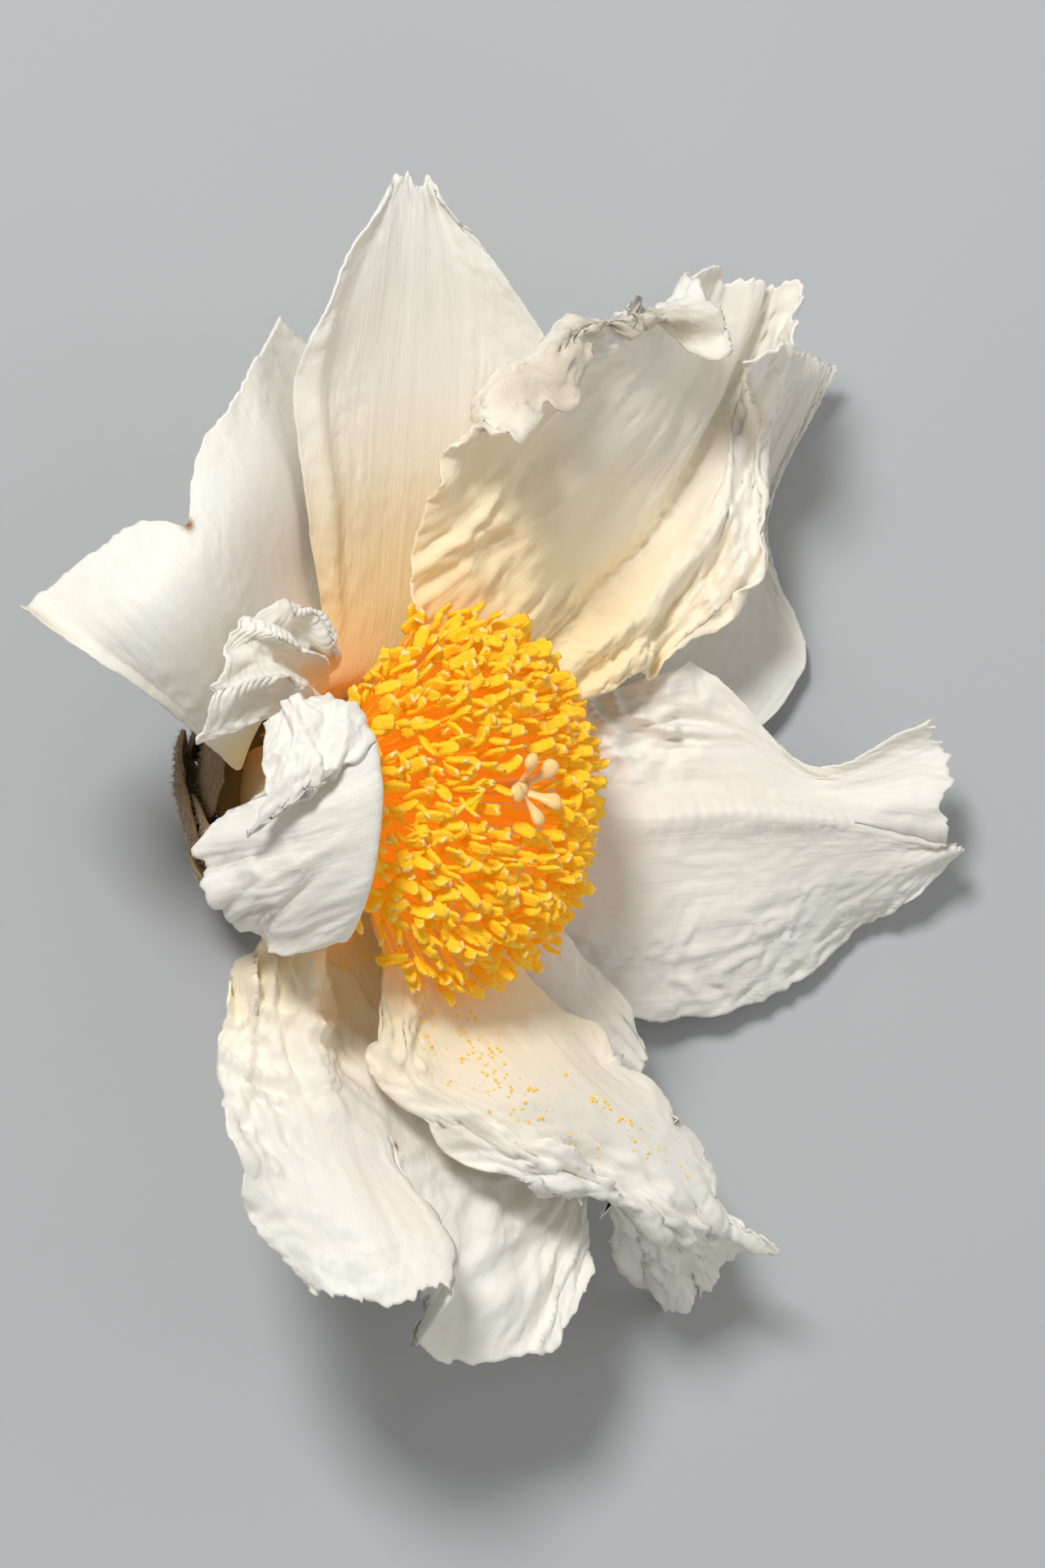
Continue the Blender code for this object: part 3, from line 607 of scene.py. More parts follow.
def torn_border(petal, u, v, last):
    """How far along its ribs and across them each point lies, with the border uneven and bitten."""
    seed = petal["seed"]
    rough_tip, rough_sides = petal["ragged"]
    teeth = petal.get("teeth", USUAL_TEETH)
    reach = 1 + rough_tip * ripple(u * 7 + 3.3, u * 0 + 1.7, seed)
    reach = reach + 0.5 * rough_tip * ripple(u * 19, u * 0 + 5.1, seed + 1)
    reach = reach + TIP_BITES * teeth * ripple(u * 44, u * 0 + 9.2, seed + 31)
    for place, depth, width in petal.get("notches", ()):
        reach = reach - depth * np.exp(-np.abs((u - place) / width) ** 1.5)
    share = v[:, None] * reach[None, :]
    across = u[None, :] * np.ones_like(share)
    waver = ripple(share * last * 5.3 + np.sign(across) * 9 + 20, np.abs(across) / 2, seed + 5)
    bite = ripple(share * last * 19 + np.sign(across) * 9 + 20, np.abs(across) / 2, seed + 35)
    free_side = ease((share - 0.3) / 0.2)
    rough = rough_sides * waver * np.abs(across) ** 4 + SIDE_BITES * teeth * bite * np.abs(across) ** 12
    across = across * (1 + rough * free_side)
    for side, borders, depth in petal.get("scallops", ()):
        station = share * last
        arch = np.zeros_like(share)
        for low, high in zip(borders, borders[1:]):
            inside = np.clip((station - low) / (high - low), 0, 1)
            arch = arch + np.sin(np.pi * inside) ** 0.6
        across = across * (1 + depth * arch * np.clip(side * across, 0, 1) ** 3)
    for place, start, *_ in petal.get("parted", ()):
        opened = ease((v - start) / 0.1)[:, None]
        near = np.exp(-(((u - place) / 0.2) ** 2))[None, :] * opened
        across = across + near * SLIT_WAVER * ripple(share * 16, 0 * share, seed + 40)
        bitten = np.where(u < place, -1, 1)[None, :] * np.exp(-np.abs(u - place) / 0.04)[None, :]
        torn = 1 + ripple(share * 45, 0 * share, seed + 41)
        across = across + SLIT_BITES * bitten * opened * torn
    return share, across


def slit_opened(petal, grid, u, v):
    """The two sides of each slit pushed apart."""
    for place, start, push_left, push_right, spread in petal.get("parted", ()):
        nearness = np.exp(-(((u - place) / spread) ** 2))
        for side, push in ((u < place, push_left), (u >= place, push_right)):
            amount = ease((v - start) / (1 - start))[:, None] * (nearness * side)[None, :]
            grid = grid + amount[..., None] * np.array(push, float)
    return grid


def ruffled(petal, grid, share, across, v):
    """The sheet with the broad waves of its sides and its tip."""
    seed = petal["seed"]
    depth, waves = petal["ruffle"]
    loose = ease((share - 0.22) / 0.4)
    at_tip = ease((v[:, None] - 0.65) / 0.35) * np.ones_like(share)
    side_wave = ripple(share * waves * 2 + seed, np.sign(across) * 7 + across * 0.8, seed + 2)
    tip_wave = ripple(across * waves + 7, v[:, None] * 1.5 + 0 * across, seed + 3)
    wave = loose * depth * (1.4 * np.abs(across) ** 3 * side_wave + at_tip * tip_wave)
    return grid + wave[..., None] * normals(grid)


def crinkles(layers, sideways, lengthways, seed):
    """The crinkles of a table such as PAPER, added up."""
    shift, sizes = layers
    total = 0.0
    for weight, wide, long, own_seed in sizes:
        total = total + weight * crinkle(sideways / wide + shift, lengthways / long + shift, seed + own_seed)
    return total


def sheet_relief(petal, share, across, u, v, sheet, crumple):
    """How far in mm wrinkles, folds, crumples and creases lift each point of a petal."""
    seed = petal["seed"]
    sideways, lengthways, from_edge = sheet
    wrinkle, reach_in = petal["wrinkle"]
    free = ease((lengthways - 14) / 10)
    fine = crinkles(EDGE_WRINKLES, sideways, lengthways, seed)
    fine = fine * free * wrinkle * np.exp(-from_edge / reach_in)
    paper = crinkles(PAPER, sideways, lengthways, seed)
    patches = ease(0.35 + 0.5 * ripple(sideways / 9, lengthways / 9, seed + 29))
    fine = fine + PAPER_DEPTH * free * paper * patches
    swelling = ripple(sideways / 8.5 + 30, lengthways / 11.0 + 30, seed + 21)
    swell = free * petal.get("swell", USUAL_SWELL) * swelling
    pleats = free * VEIN_PLEATS * ripple(across * 22 + 40, lengthways / 24.0, seed + 22)
    far_out = ease((lengthways - 16) / 20)
    folds = crinkles(LONG_FOLDS, sideways, lengthways, seed)
    patches = ease(0.55 + 0.7 * ripple(sideways / 14, lengthways / 14, seed + 30))
    folds = petal["folds"] * far_out * folds * patches
    lift = crumple * (fine + swell + pleats + folds)
    for place_u, place_v, wide, long, high, grain in petal.get("crumples", ()):
        near = np.exp(-(((across - place_u) / wide) ** 2) - ((share - place_v) / long) ** 2)
        lift = lift + crumple * near * high * crinkle(sideways / grain, lengthways / grain, seed + 23)
    for route, wide, high in petal.get("creases", ()):
        lift = lift + high * crease(route, wide, u[None, :] + 0 * share, v[:, None] + 0 * share)
    return lift


def hemmed(petal, grid, u, v, last):
    """The sheet with its side borders rolled inwards, and a mask of painted shade over the rolled-over part
    of the left one.
    """
    painted_roll_shade = np.zeros(grid.shape[:2])
    if "left_hem" in petal:
        start, radius, angles = petal["left_hem"]
        angles = along(np.array((0, 0) + angles)[:, None], v * last)[:, 0]
        grid = rolled(grid[:, ::-1], -u[::-1], start, radius, angles, -1)[:, ::-1]
        # Painted shade: the left border past its start, where it is rolled over by more than 60 degrees, is
        # marked for a darker beige
        painted_roll_shade = ease((-u - start) / 0.08)[None, :] * ease((angles - 60) / 80)[:, None]
    if "right_hem" in petal:
        start, radius, angles = petal["right_hem"]
        angles = along(np.array((0, 0) + angles)[:, None], v * last)[:, 0]
        grid = rolled(grid, u, start, radius, angles, 1)
    return grid, painted_roll_shade


def brown_spots(petal, grid, u):
    """1 in the middle of each brown spot and 0 away from them."""
    spots = np.zeros(grid.shape[:2])
    rows = grid.shape[0] - 1
    for place_u, place_v, size in petal.get("spots", ()):
        column = int(np.argmin(np.abs(u - place_u)))
        row = int(round(place_v * rows))
        away = np.linalg.norm(grid - grid[row, column], axis=2)
        spots = np.maximum(spots, 1 - ease(away / size))
    return spots


def petal_surface(petal, cells, crumple):
    """The middle of a petal's sheet as rows from the claw to the tip, and what its finish is told."""
    ribs = petal_ribs(petal)
    last = len(ribs[0]) - 1
    u = np.linspace(-1, 1, cells[0] + 1)
    v = np.linspace(0, 1, cells[1] + 1)
    share, across = torn_border(petal, u, v, last)
    grid = slit_opened(petal, lofted(ribs, across, share * last), u, v)
    sideways, lengthways = sheet_millimetres(grid)
    grid = ruffled(petal, grid, share, across, v)
    from_left = sideways - sideways[:, :1]
    from_right = sideways[:, -1:] - sideways
    from_tip = lengthways[-1:] - lengthways
    from_edge = np.minimum(np.minimum(from_left, from_right), from_tip)
    sheet = (sideways, lengthways, from_edge)
    lift = sheet_relief(petal, share, across, u, v, sheet, crumple)
    grid, painted_roll_shade = hemmed(petal, grid, u, v, last)
    grid = grid + lift[..., None] * normals(grid)
    warm_from, warm_to = petal.get("blush", USUAL_BLUSH)
    blush = 1 - ease((lengthways - warm_from) / (warm_to - warm_from))
    # Tint: the warm cream, the brown spots, and the painted shade of the rolled left border
    tint = np.stack([blush, brown_spots(petal, grid, u), painted_roll_shade], -1)
    return grid, u, v, {"sheet": np.stack(sheet, -1), "tint": tint}


def crease(route, wide, x, y):
    """A ridge along a route of (across, along) points, 1 at its crest and fading at its two ends."""
    route = along(route, np.linspace(0, len(route) - 1, 24))
    nearest = np.full(x.shape, 9.0)
    place = np.zeros(x.shape)
    for k, (px, py) in enumerate(route):
        away = ((x - px) / wide) ** 2 + ((y - py) / (wide / 3)) ** 2
        closer = away < nearest
        nearest = np.where(closer, away, nearest)
        place = np.where(closer, k / 23, place)
    return np.exp(-nearest) * np.sin(np.pi * np.clip(place, 0.02, 0.98)) ** 0.5


def cells_kept(petal, u, v):
    """False for the cells of the grid that a slit takes out."""
    keep = np.ones((len(v) - 1, len(u) - 1), bool)
    for place, start, *_ in petal.get("parted", ()):
        column = int(np.argmin(np.abs((u[:-1] + u[1:]) / 2 - place)))
        keep[v[:-1] >= start, column] = False
    return keep


def new_mesh(name, points, faces, attributes=None):
    """A smooth mesh from points in the flower's own millimetres, with a vector for each point."""
    mesh = bpy.data.meshes.new(name)
    sizes = np.array([len(face) for face in faces])
    mesh.vertices.add(len(points))
    mesh.vertices.foreach_set("co", laid(points).astype(np.float32).ravel())
    mesh.loops.add(int(sizes.sum()))
    mesh.loops.foreach_set("vertex_index", np.concatenate(faces).astype(np.int32))
    mesh.polygons.add(len(faces))
    mesh.polygons.foreach_set("loop_start", np.concatenate([[0], np.cumsum(sizes)[:-1]]).astype(np.int32))
    mesh.update(calc_edges=True)
    mesh.validate()
    for key, values in (attributes or {}).items():
        layer = mesh.attributes.new(key, "FLOAT_VECTOR", "POINT")
        layer.data.foreach_set("vector", np.asarray(values, np.float32).ravel())
    mesh.shade_smooth()
    return mesh


def sheet_mesh(name, grid, keep, thickness, attributes=None):
    """A closed mesh of a sheet this thick in millimetres, with the grid as its middle."""
    rows, columns = grid.shape[:2]
    count = rows * columns
    ids = np.arange(count).reshape(rows, columns)
    quads = np.stack([ids[:-1, :-1], ids[:-1, 1:], ids[1:, 1:], ids[1:, :-1]], -1)[keep]
    half = normals(grid) * thickness / 2
    points = np.concatenate([(grid + half).reshape(-1, 3), (grid - half).reshape(-1, 3)])
    edges = np.stack([quads, np.roll(quads, -1, axis=1)], -1).reshape(-1, 2)
    keys = edges[:, 0] * count + edges[:, 1]
    back = edges[:, 1] * count + edges[:, 0]
    rim = edges[~np.isin(back, keys)]
    sides = np.stack([rim[:, 1], rim[:, 0], rim[:, 0] + count, rim[:, 1] + count], -1)
    faces = np.concatenate([quads, quads[:, ::-1] + count, sides])
    used = np.unique(faces)
    number = np.zeros(2 * count, int)
    number[used] = np.arange(len(used))
    both = {}
    for key, values in (attributes or {}).items():
        both[key] = np.concatenate([values.reshape(-1, 3)] * 2)[used]
    return new_mesh(name, points[used], number[faces], both)


def new_piece(mesh, finish, node_names):
    """A piece that stands for CAD nodes, which it hides, and takes the finish it is given."""
    piece = new_extra(mesh, finish)
    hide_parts(*node_names)
    return piece


def new_extra(mesh, finish):
    """A piece that has no CAD node of its own."""
    piece = bpy.data.objects.new(mesh.name, mesh)
    bpy.context.scene.collection.objects.link(piece)
    mesh.materials.append(finish)
    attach(piece, "root")
    return piece


def add_node(tree, kind, settings, inputs):
    """Adds a node with its settings. Each input is a value, or a socket that is linked to it."""
    made = tree.nodes.new(kind)
    for name, value in settings.items():
        setattr(made, name, value)
    for key, value in inputs.items():
        if isinstance(value, bpy.types.NodeSocket):
            tree.links.new(value, made.inputs[key])
        else:
            made.inputs[key].default_value = value
    return made


def start_material(name):
    """An empty material: its node tree, its Principled shader and itself."""
    made = bpy.data.materials.new(name)
    made.use_nodes = True
    tree = made.node_tree
    return made, tree, tree.nodes["Principled BSDF"]


def rgba(colour):
    return (*colour, 1.0)


def toned(colour, red, green, blue):
    """A linear colour with each of its three parts multiplied, with its alpha."""
    return rgba([part * share for part, share in zip(colour, (red, green, blue))])


def mixed(tree, factor, a, b):
    """The colour output of a mix."""
    both = add_node(tree, "ShaderNodeMix", {"data_type": "RGBA"}, {0: factor, 6: a, 7: b})
    return both.outputs[2]


def petal_tissue(colours):
    """Living petal: white because of the air between its cells, soft, thin enough to pass light,
    with fine veins that run lengthways and a warm cream towards its foot."""
    made, tree, shader = start_material("petal_tissue")
    sheet = add_node(tree, "ShaderNodeAttribute", {"attribute_name": "sheet"}, {}).outputs["Vector"]
    tint = add_node(tree, "ShaderNodeAttribute", {"attribute_name": "tint"}, {}).outputs["Vector"]
    blush, spots, painted_roll_shade = add_node(tree, "ShaderNodeSeparateXYZ", {}, {0: tint}).outputs
    # Veins 0.5 mm apart that waver over 16 mm of length
    lanes = add_node(
        tree, "ShaderNodeVectorMath", {"operation": "MULTIPLY"}, {0: sheet, 1: (1 / 0.5, 1 / 16, 0)}
    )
    veins = add_node(
        tree, "ShaderNodeTexNoise", {"noise_dimensions": "2D"},
        {"Vector": lanes.outputs[0], "Scale": 1.0, "Detail": 2.0, "Roughness": 0.6, "Distortion": 0.2},
    ).outputs[0]
    # Cells are 0.03 mm wide, drawn 0.25 mm wide so that they show
    cells = add_node(
        tree, "ShaderNodeTexNoise", {"noise_dimensions": "2D"},
        {"Vector": sheet, "Scale": 4.0, "Detail": 3.0, "Roughness": 0.7},
    ).outputs[0]
    # Faint clouds of warmer and cooler white, 9 mm across
    clouds = add_node(
        tree, "ShaderNodeTexNoise", {"noise_dimensions": "2D"},
        {"Vector": sheet, "Scale": 0.11, "Detail": 2.0, "Roughness": 0.5},
    ).outputs[0]
    white = mixed(tree, clouds, rgba(colours.petal), toned(colours.petal, 0.985, 0.96, 0.90))
    faint = add_node(tree, "ShaderNodeMapRange", {}, {0: veins, 1: 0.45, 2: 0.75, 3: 0.0, 4: 0.35}).outputs[0]
    veined = mixed(tree, faint, white, toned(colours.petal, 0.96, 0.94, 0.88))
    # Painted shade: the rolled-over left border is mixed 70% towards a darker beige
    half_painted_roll_shade = add_node(tree, "ShaderNodeMath", {"operation": "MULTIPLY"}, {0: painted_roll_shade, 1: 0.7}).outputs[0]
    roll_shaded = mixed(tree, half_painted_roll_shade, veined, rgba(linear("#CFC2AC")))
    warmed = mixed(tree, blush, roll_shaded, rgba(colours.blush))
    browned = mixed(tree, spots, warmed, rgba(linear("#7A4A12")))
    tree.links.new(browned, shader.inputs["Base Color"])
    relief = add_node(
        tree, "ShaderNodeMath", {"operation": "MULTIPLY_ADD"}, {0: veins, 1: 1.6, 2: cells}
    ).outputs[0]
    bump = add_node(tree, "ShaderNodeBump", {}, {"Height": relief, "Distance": 0.00010, "Strength": 0.4})
    tree.links.new(bump.outputs[0], shader.inputs["Normal"])
    shader.inputs["Roughness"].default_value = 0.5
    shader.inputs["IOR"].default_value = 1.4
    shader.inputs["Specular IOR Level"].default_value = 0.35
    shader.inputs["Subsurface Weight"].default_value = 0.45
    shader.inputs["Subsurface Radius"].default_value = (1.0, 0.9, 0.75)
    shader.inputs["Subsurface Scale"].default_value = 0.0012
    shader.inputs["Sheen Weight"].default_value = 0.05
    shader.inputs["Sheen Roughness"].default_value = 0.4
    return made


def filament_tissue(colours):
    """Filament: a juicy, smooth thread, deep orange at its foot."""
    made, tree, shader = start_material("filament_tissue")
    tone = add_node(tree, "ShaderNodeAttribute", {"attribute_name": "tone"}, {}).outputs["Vector"]
    height, shade, _ = add_node(tree, "ShaderNodeSeparateXYZ", {}, {0: tone}).outputs
    lengthwise = mixed(tree, height, rgba(colours.filament_foot), rgba(colours.filament))
    varied = mixed(tree, shade, lengthwise, toned(colours.filament_foot, 0.92, 0.92, 0.92))
    tree.links.new(varied, shader.inputs["Base Color"])
    shader.inputs["Roughness"].default_value = 0.38
    # Painted glow: emission that stands in for the light that passes from thread to thread, which a few
    # bounces lose
    shader.inputs["Emission Color"].default_value = rgba(colours.filament)
    shader.inputs["Emission Strength"].default_value = 0.18
    shader.inputs["IOR"].default_value = 1.4
    shader.inputs["Subsurface Weight"].default_value = 0.2
    shader.inputs["Subsurface Radius"].default_value = (1.0, 0.8, 0.5)
    shader.inputs["Subsurface Scale"].default_value = 0.0010
    return made


def pollen_sacs(colours):
    """Ripe anther: burst pollen sacs under a powder of pollen grains, with a pale waxy connective."""
    made, tree, shader = start_material("pollen_sacs")
    tone = add_node(tree, "ShaderNodeAttribute", {"attribute_name": "tone"}, {}).outputs["Vector"]
    tip, shade, _ = add_node(tree, "ShaderNodeSeparateXYZ", {}, {0: tone}).outputs
    place = add_node(tree, "ShaderNodeTexCoord", {}, {}).outputs["Object"]
    # Grains are 0.05 mm wide, drawn 0.22 mm wide so that they show
    grains = add_node(tree, "ShaderNodeTexVoronoi", {}, {"Vector": place, "Scale": 1 / 0.00022}).outputs[0]
    powder = mixed(tree, shade, rgba(colours.pollen), toned(colours.pollen, 1.0, 0.80, 0.6))
    dusted = mixed(tree, grains, rgba([min(1, c * 1.12) for c in colours.pollen]), powder)
    tipped = mixed(tree, tip, dusted, rgba(colours.connective))
    tree.links.new(tipped, shader.inputs["Base Color"])
    bump = add_node(
        tree, "ShaderNodeBump", {"invert": True}, {"Height": grains, "Distance": 0.00012, "Strength": 0.7}
    )
    tree.links.new(bump.outputs[0], shader.inputs["Normal"])
    shader.inputs["Roughness"].default_value = 0.75
    # Painted glow: emission that stands in for the light that passes from sac to sac, which a few bounces
    # lose
    shader.inputs["Emission Color"].default_value = rgba(colours.pollen)
    shader.inputs["Emission Strength"].default_value = 0.10
    shader.inputs["Subsurface Weight"].default_value = 0.1
    shader.inputs["Subsurface Radius"].default_value = (1.0, 0.9, 0.6)
    shader.inputs["Subsurface Scale"].default_value = 0.0006
    return made


def stigma_tissue(colours):
    """Style and stigma: pale, waxy and slightly moist."""
    made, tree, shader = start_material("stigma_tissue")
    place = add_node(tree, "ShaderNodeTexCoord", {}, {}).outputs["Object"]
    # Papillae 0.2 mm apart
    papillae = add_node(
        tree, "ShaderNodeTexNoise", {}, {"Vector": place, "Scale": 1 / 0.0002, "Detail": 1.0}
    ).outputs[0]
    tinted = mixed(tree, papillae, rgba(colours.stigma), toned(colours.stigma, 1, 0.88, 0.7))
    tree.links.new(tinted, shader.inputs["Base Color"])
    bump = add_node(tree, "ShaderNodeBump", {}, {"Height": papillae, "Distance": 0.00005, "Strength": 0.5})
    tree.links.new(bump.outputs[0], shader.inputs["Normal"])
    shader.inputs["Roughness"].default_value = 0.3
    shader.inputs["IOR"].default_value = 1.4
    shader.inputs["Subsurface Weight"].default_value = 0.5
    shader.inputs["Subsurface Radius"].default_value = (1.0, 0.7, 0.4)
    shader.inputs["Subsurface Scale"].default_value = 0.0010
    return made


def scale_hide(colours):
    """Sepal and bract: leathery, dull and brown-green, with darker blotches."""
    made, tree, shader = start_material("calyx_scale")
    place = add_node(tree, "ShaderNodeTexCoord", {}, {}).outputs["Object"]
    # Blotches 2 mm across and fine grain 0.3 mm across
    coarse = {"Vector": place, "Scale": 500.0, "Detail": 4.0}
    blotches = add_node(tree, "ShaderNodeTexNoise", {}, coarse).outputs[0]
    fine = {"Vector": place, "Scale": 3300.0, "Detail": 2.0}
    grain = add_node(tree, "ShaderNodeTexNoise", {}, fine).outputs[0]
    tinted = mixed(tree, blotches, rgba(colours.scale), toned(colours.scale, 0.8, 0.78, 0.7))
    tree.links.new(tinted, shader.inputs["Base Color"])
    bump = add_node(tree, "ShaderNodeBump", {}, {"Height": grain, "Distance": 0.0001, "Strength": 0.6})
    tree.links.new(bump.outputs[0], shader.inputs["Normal"])
    shader.inputs["Roughness"].default_value = 0.8
    return made


def wool_hair(colours):
    """Wool of the calyx: silky hairs, each with its own shade of grey-brown."""
    made, tree, shader = start_material("calyx_wool")
    tone = add_node(tree, "ShaderNodeAttribute", {"attribute_name": "tone"}, {}).outputs["Vector"]
    shade, _, _ = add_node(tree, "ShaderNodeSeparateXYZ", {}, {0: tone}).outputs
    tinted = mixed(tree, shade, rgba(colours.wool), toned(colours.wool, 0.7, 0.62, 0.52))
    tree.links.new(tinted, shader.inputs["Base Color"])
    shader.inputs["Roughness"].default_value = 0.5
    shader.inputs["Sheen Weight"].default_value = 0.3
    shader.inputs["Sheen Roughness"].default_value = 0.3
    return made


def stalk_bark(colours):
    """Green young stalk with corky flecks, and a paler moist cut across it."""
    made, tree, shader = start_material("stalk_bark")
    place = add_node(tree, "ShaderNodeTexCoord", {}, {}).outputs["Object"]
    tone = add_node(tree, "ShaderNodeAttribute", {"attribute_name": "tone"}, {}).outputs["Vector"]
    cut, pith, _ = add_node(tree, "ShaderNodeSeparateXYZ", {}, {0: tone}).outputs
    # Corky flecks 0.7 mm across
    spread = {"Vector": place, "Scale": 1400.0, "Detail": 4.0}
    flecks = add_node(tree, "ShaderNodeTexNoise", {}, spread).outputs[0]
    marked = add_node(tree, "ShaderNodeMapRange", {}, {0: flecks, 1: 0.48, 2: 0.62}).outputs[0]
    bark = mixed(tree, marked, rgba(colours.stalk), rgba(linear("#7A6242")))
    wood = mixed(tree, pith, rgba(linear("#C9C48A")), rgba(linear("#E6DDB4")))
    tree.links.new(mixed(tree, cut, bark, wood), shader.inputs["Base Color"])
    bump = add_node(tree, "ShaderNodeBump", {}, {"Height": flecks, "Distance": 0.0002, "Strength": 0.6})
    tree.links.new(bump.outputs[0], shader.inputs["Normal"])
    shader.inputs["Roughness"].default_value = 0.65
    return made


def studio_floor(colours):
    """Matt painted board: plain, pale and without gloss."""
    made, _, shader = start_material("studio_floor")
    shader.inputs["Base Color"].default_value = rgba(colours.floor)
    shader.inputs["Roughness"].default_value = 0.9
    shader.inputs["Specular IOR Level"].default_value = 0.2
    return made


class Heap:
    """Points and faces of many small closed shapes that make one mesh."""

    def __init__(self):
        self.points = []
        self.faces = []
        self.tones = []
        self.count = 0

    def add(self, points, faces, tones):
        points = np.asarray(points, float).reshape(-1, 3)
        self.points.append(points)
        self.faces.extend([[i + self.count for i in face] for face in faces])
        self.tones.append(np.broadcast_to(np.asarray(tones, float), points.shape))
        self.count += len(points)

    def mesh(self, name):
        faces = [np.array(face) for face in self.faces]
        return new_mesh(name, np.concatenate(self.points), faces, {"tone": np.concatenate(self.tones)})


def ring_faces(rings, sides):
    """Faces of a tube of rings, with one point closing each end after the last ring."""
    faces = []
    for r in range(rings - 1):
        for k in range(sides):
            a, b = r * sides + k, r * sides + (k + 1) % sides
            faces.append((a, b, b + sides, a + sides))
    foot, tip = rings * sides, rings * sides + 1
    top = (rings - 1) * sides
    for k in range(sides):
        after = (k + 1) % sides
        faces.append((after, k, foot))
        faces.append((top + k, top + after, tip))
    return faces


def frames_along(path):
    """The direction, and two square to it, at each point of a path, turning as little as they can."""
    ahead = unit(np.gradient(path, axis=0))
    start = np.cross(ahead[0], AXIS + 0.1 * UP + 0.05 * ACROSS)
    side = unit(start)
    sides = []
    for direction in ahead:
        side = unit(side - (side @ direction) * direction)
        sides.append(side)
    sides = np.array(sides)
    return ahead, sides, np.cross(ahead, sides)


def tube_points(path, radii, sides, flat=1.0):
    """Rings of points round a path, then a point that closes each end. flat squashes one way."""
    ahead, one, other = frames_along(path)
    turns = np.arange(sides) * 2 * np.pi / sides
    circle = np.cos(turns)[None, :, None] * one[:, None]
    circle = circle + flat * np.sin(turns)[None, :, None] * other[:, None]
    rings = path[:, None] + np.asarray(radii)[:, None, None] * circle
    ends = np.array([path[0] - ahead[0] * radii[0] * 0.4, path[-1] + ahead[-1] * radii[-1] * 0.4])
    return np.concatenate([rings.reshape(-1, 3), ends])


def stamen_places(sizes, rng):
    """Foot, middle and tip of each filament, spread evenly by the golden angle."""
    golden = 180 * (3 - math.sqrt(5))
    for k in range(sizes.stamens):
        rank = (k + 0.5) / sizes.stamens
        azimuth = k * golden + rng.uniform(-4, 4)
        foot_radius = FILAMENT_FEET[0] + FILAMENT_FEET[1] * rank
        radius = BRUSH_RADII[0] + BRUSH_RADII[1] * math.sqrt(rank) + rng.uniform(-0.6, 0.6)
        downward = max(0.0, -math.sin(math.radians(azimuth)))
        radius += BRUSH_SAG * downward * radius / BRUSH_HALF_WIDTH
        height = BRUSH_TOP - BRUSH_DROOP * rank**1.2 + rng.uniform(-1.3, 1.1)
        foot = round_axis(foot_radius, azimuth, FILAMENT_FOOT_HEIGHT)
        outward, bend_height = FILAMENT_BEND
        bend = round_axis(foot_radius + outward * (radius - foot_radius), azimuth, bend_height)
        tip = round_axis(radius, azimuth + rng.uniform(-6, 6), height)
        yield foot, bend, tip


def anther_shape(sizes):
    """Rings of one anther in its own axes: along it, across both sacs, and through its thickness."""
    sides, rings = 12, 12
    turns = np.arange(sides) * 2 * np.pi / sides
    share = np.linspace(0.03, 0.97, rings)
    long = sizes.anther_length / MM
    wide = sizes.anther_width / MM / 2
    plump = (4 * share * (1 - share)) ** 0.24
    groove = 1 - 0.5 * np.abs(np.sin(turns)) ** 4
    x = (share - 0.5)[:, None] * long + 0 * turns[None, :]
    y = wide * plump[:, None] * (np.cos(turns) * (1 + 0.18 * np.abs(np.cos(turns))))[None, :]
    z = wide * 0.78 * plump[:, None] * (np.sin(turns) * groove)[None, :]
    body = np.stack([x, y, z], -1).reshape(-1, 3)
    ends = np.array([[-0.5 * long, 0, 0], [0.5 * long, 0, 0]])
    return np.concatenate([body, ends]), ring_faces(rings, sides)


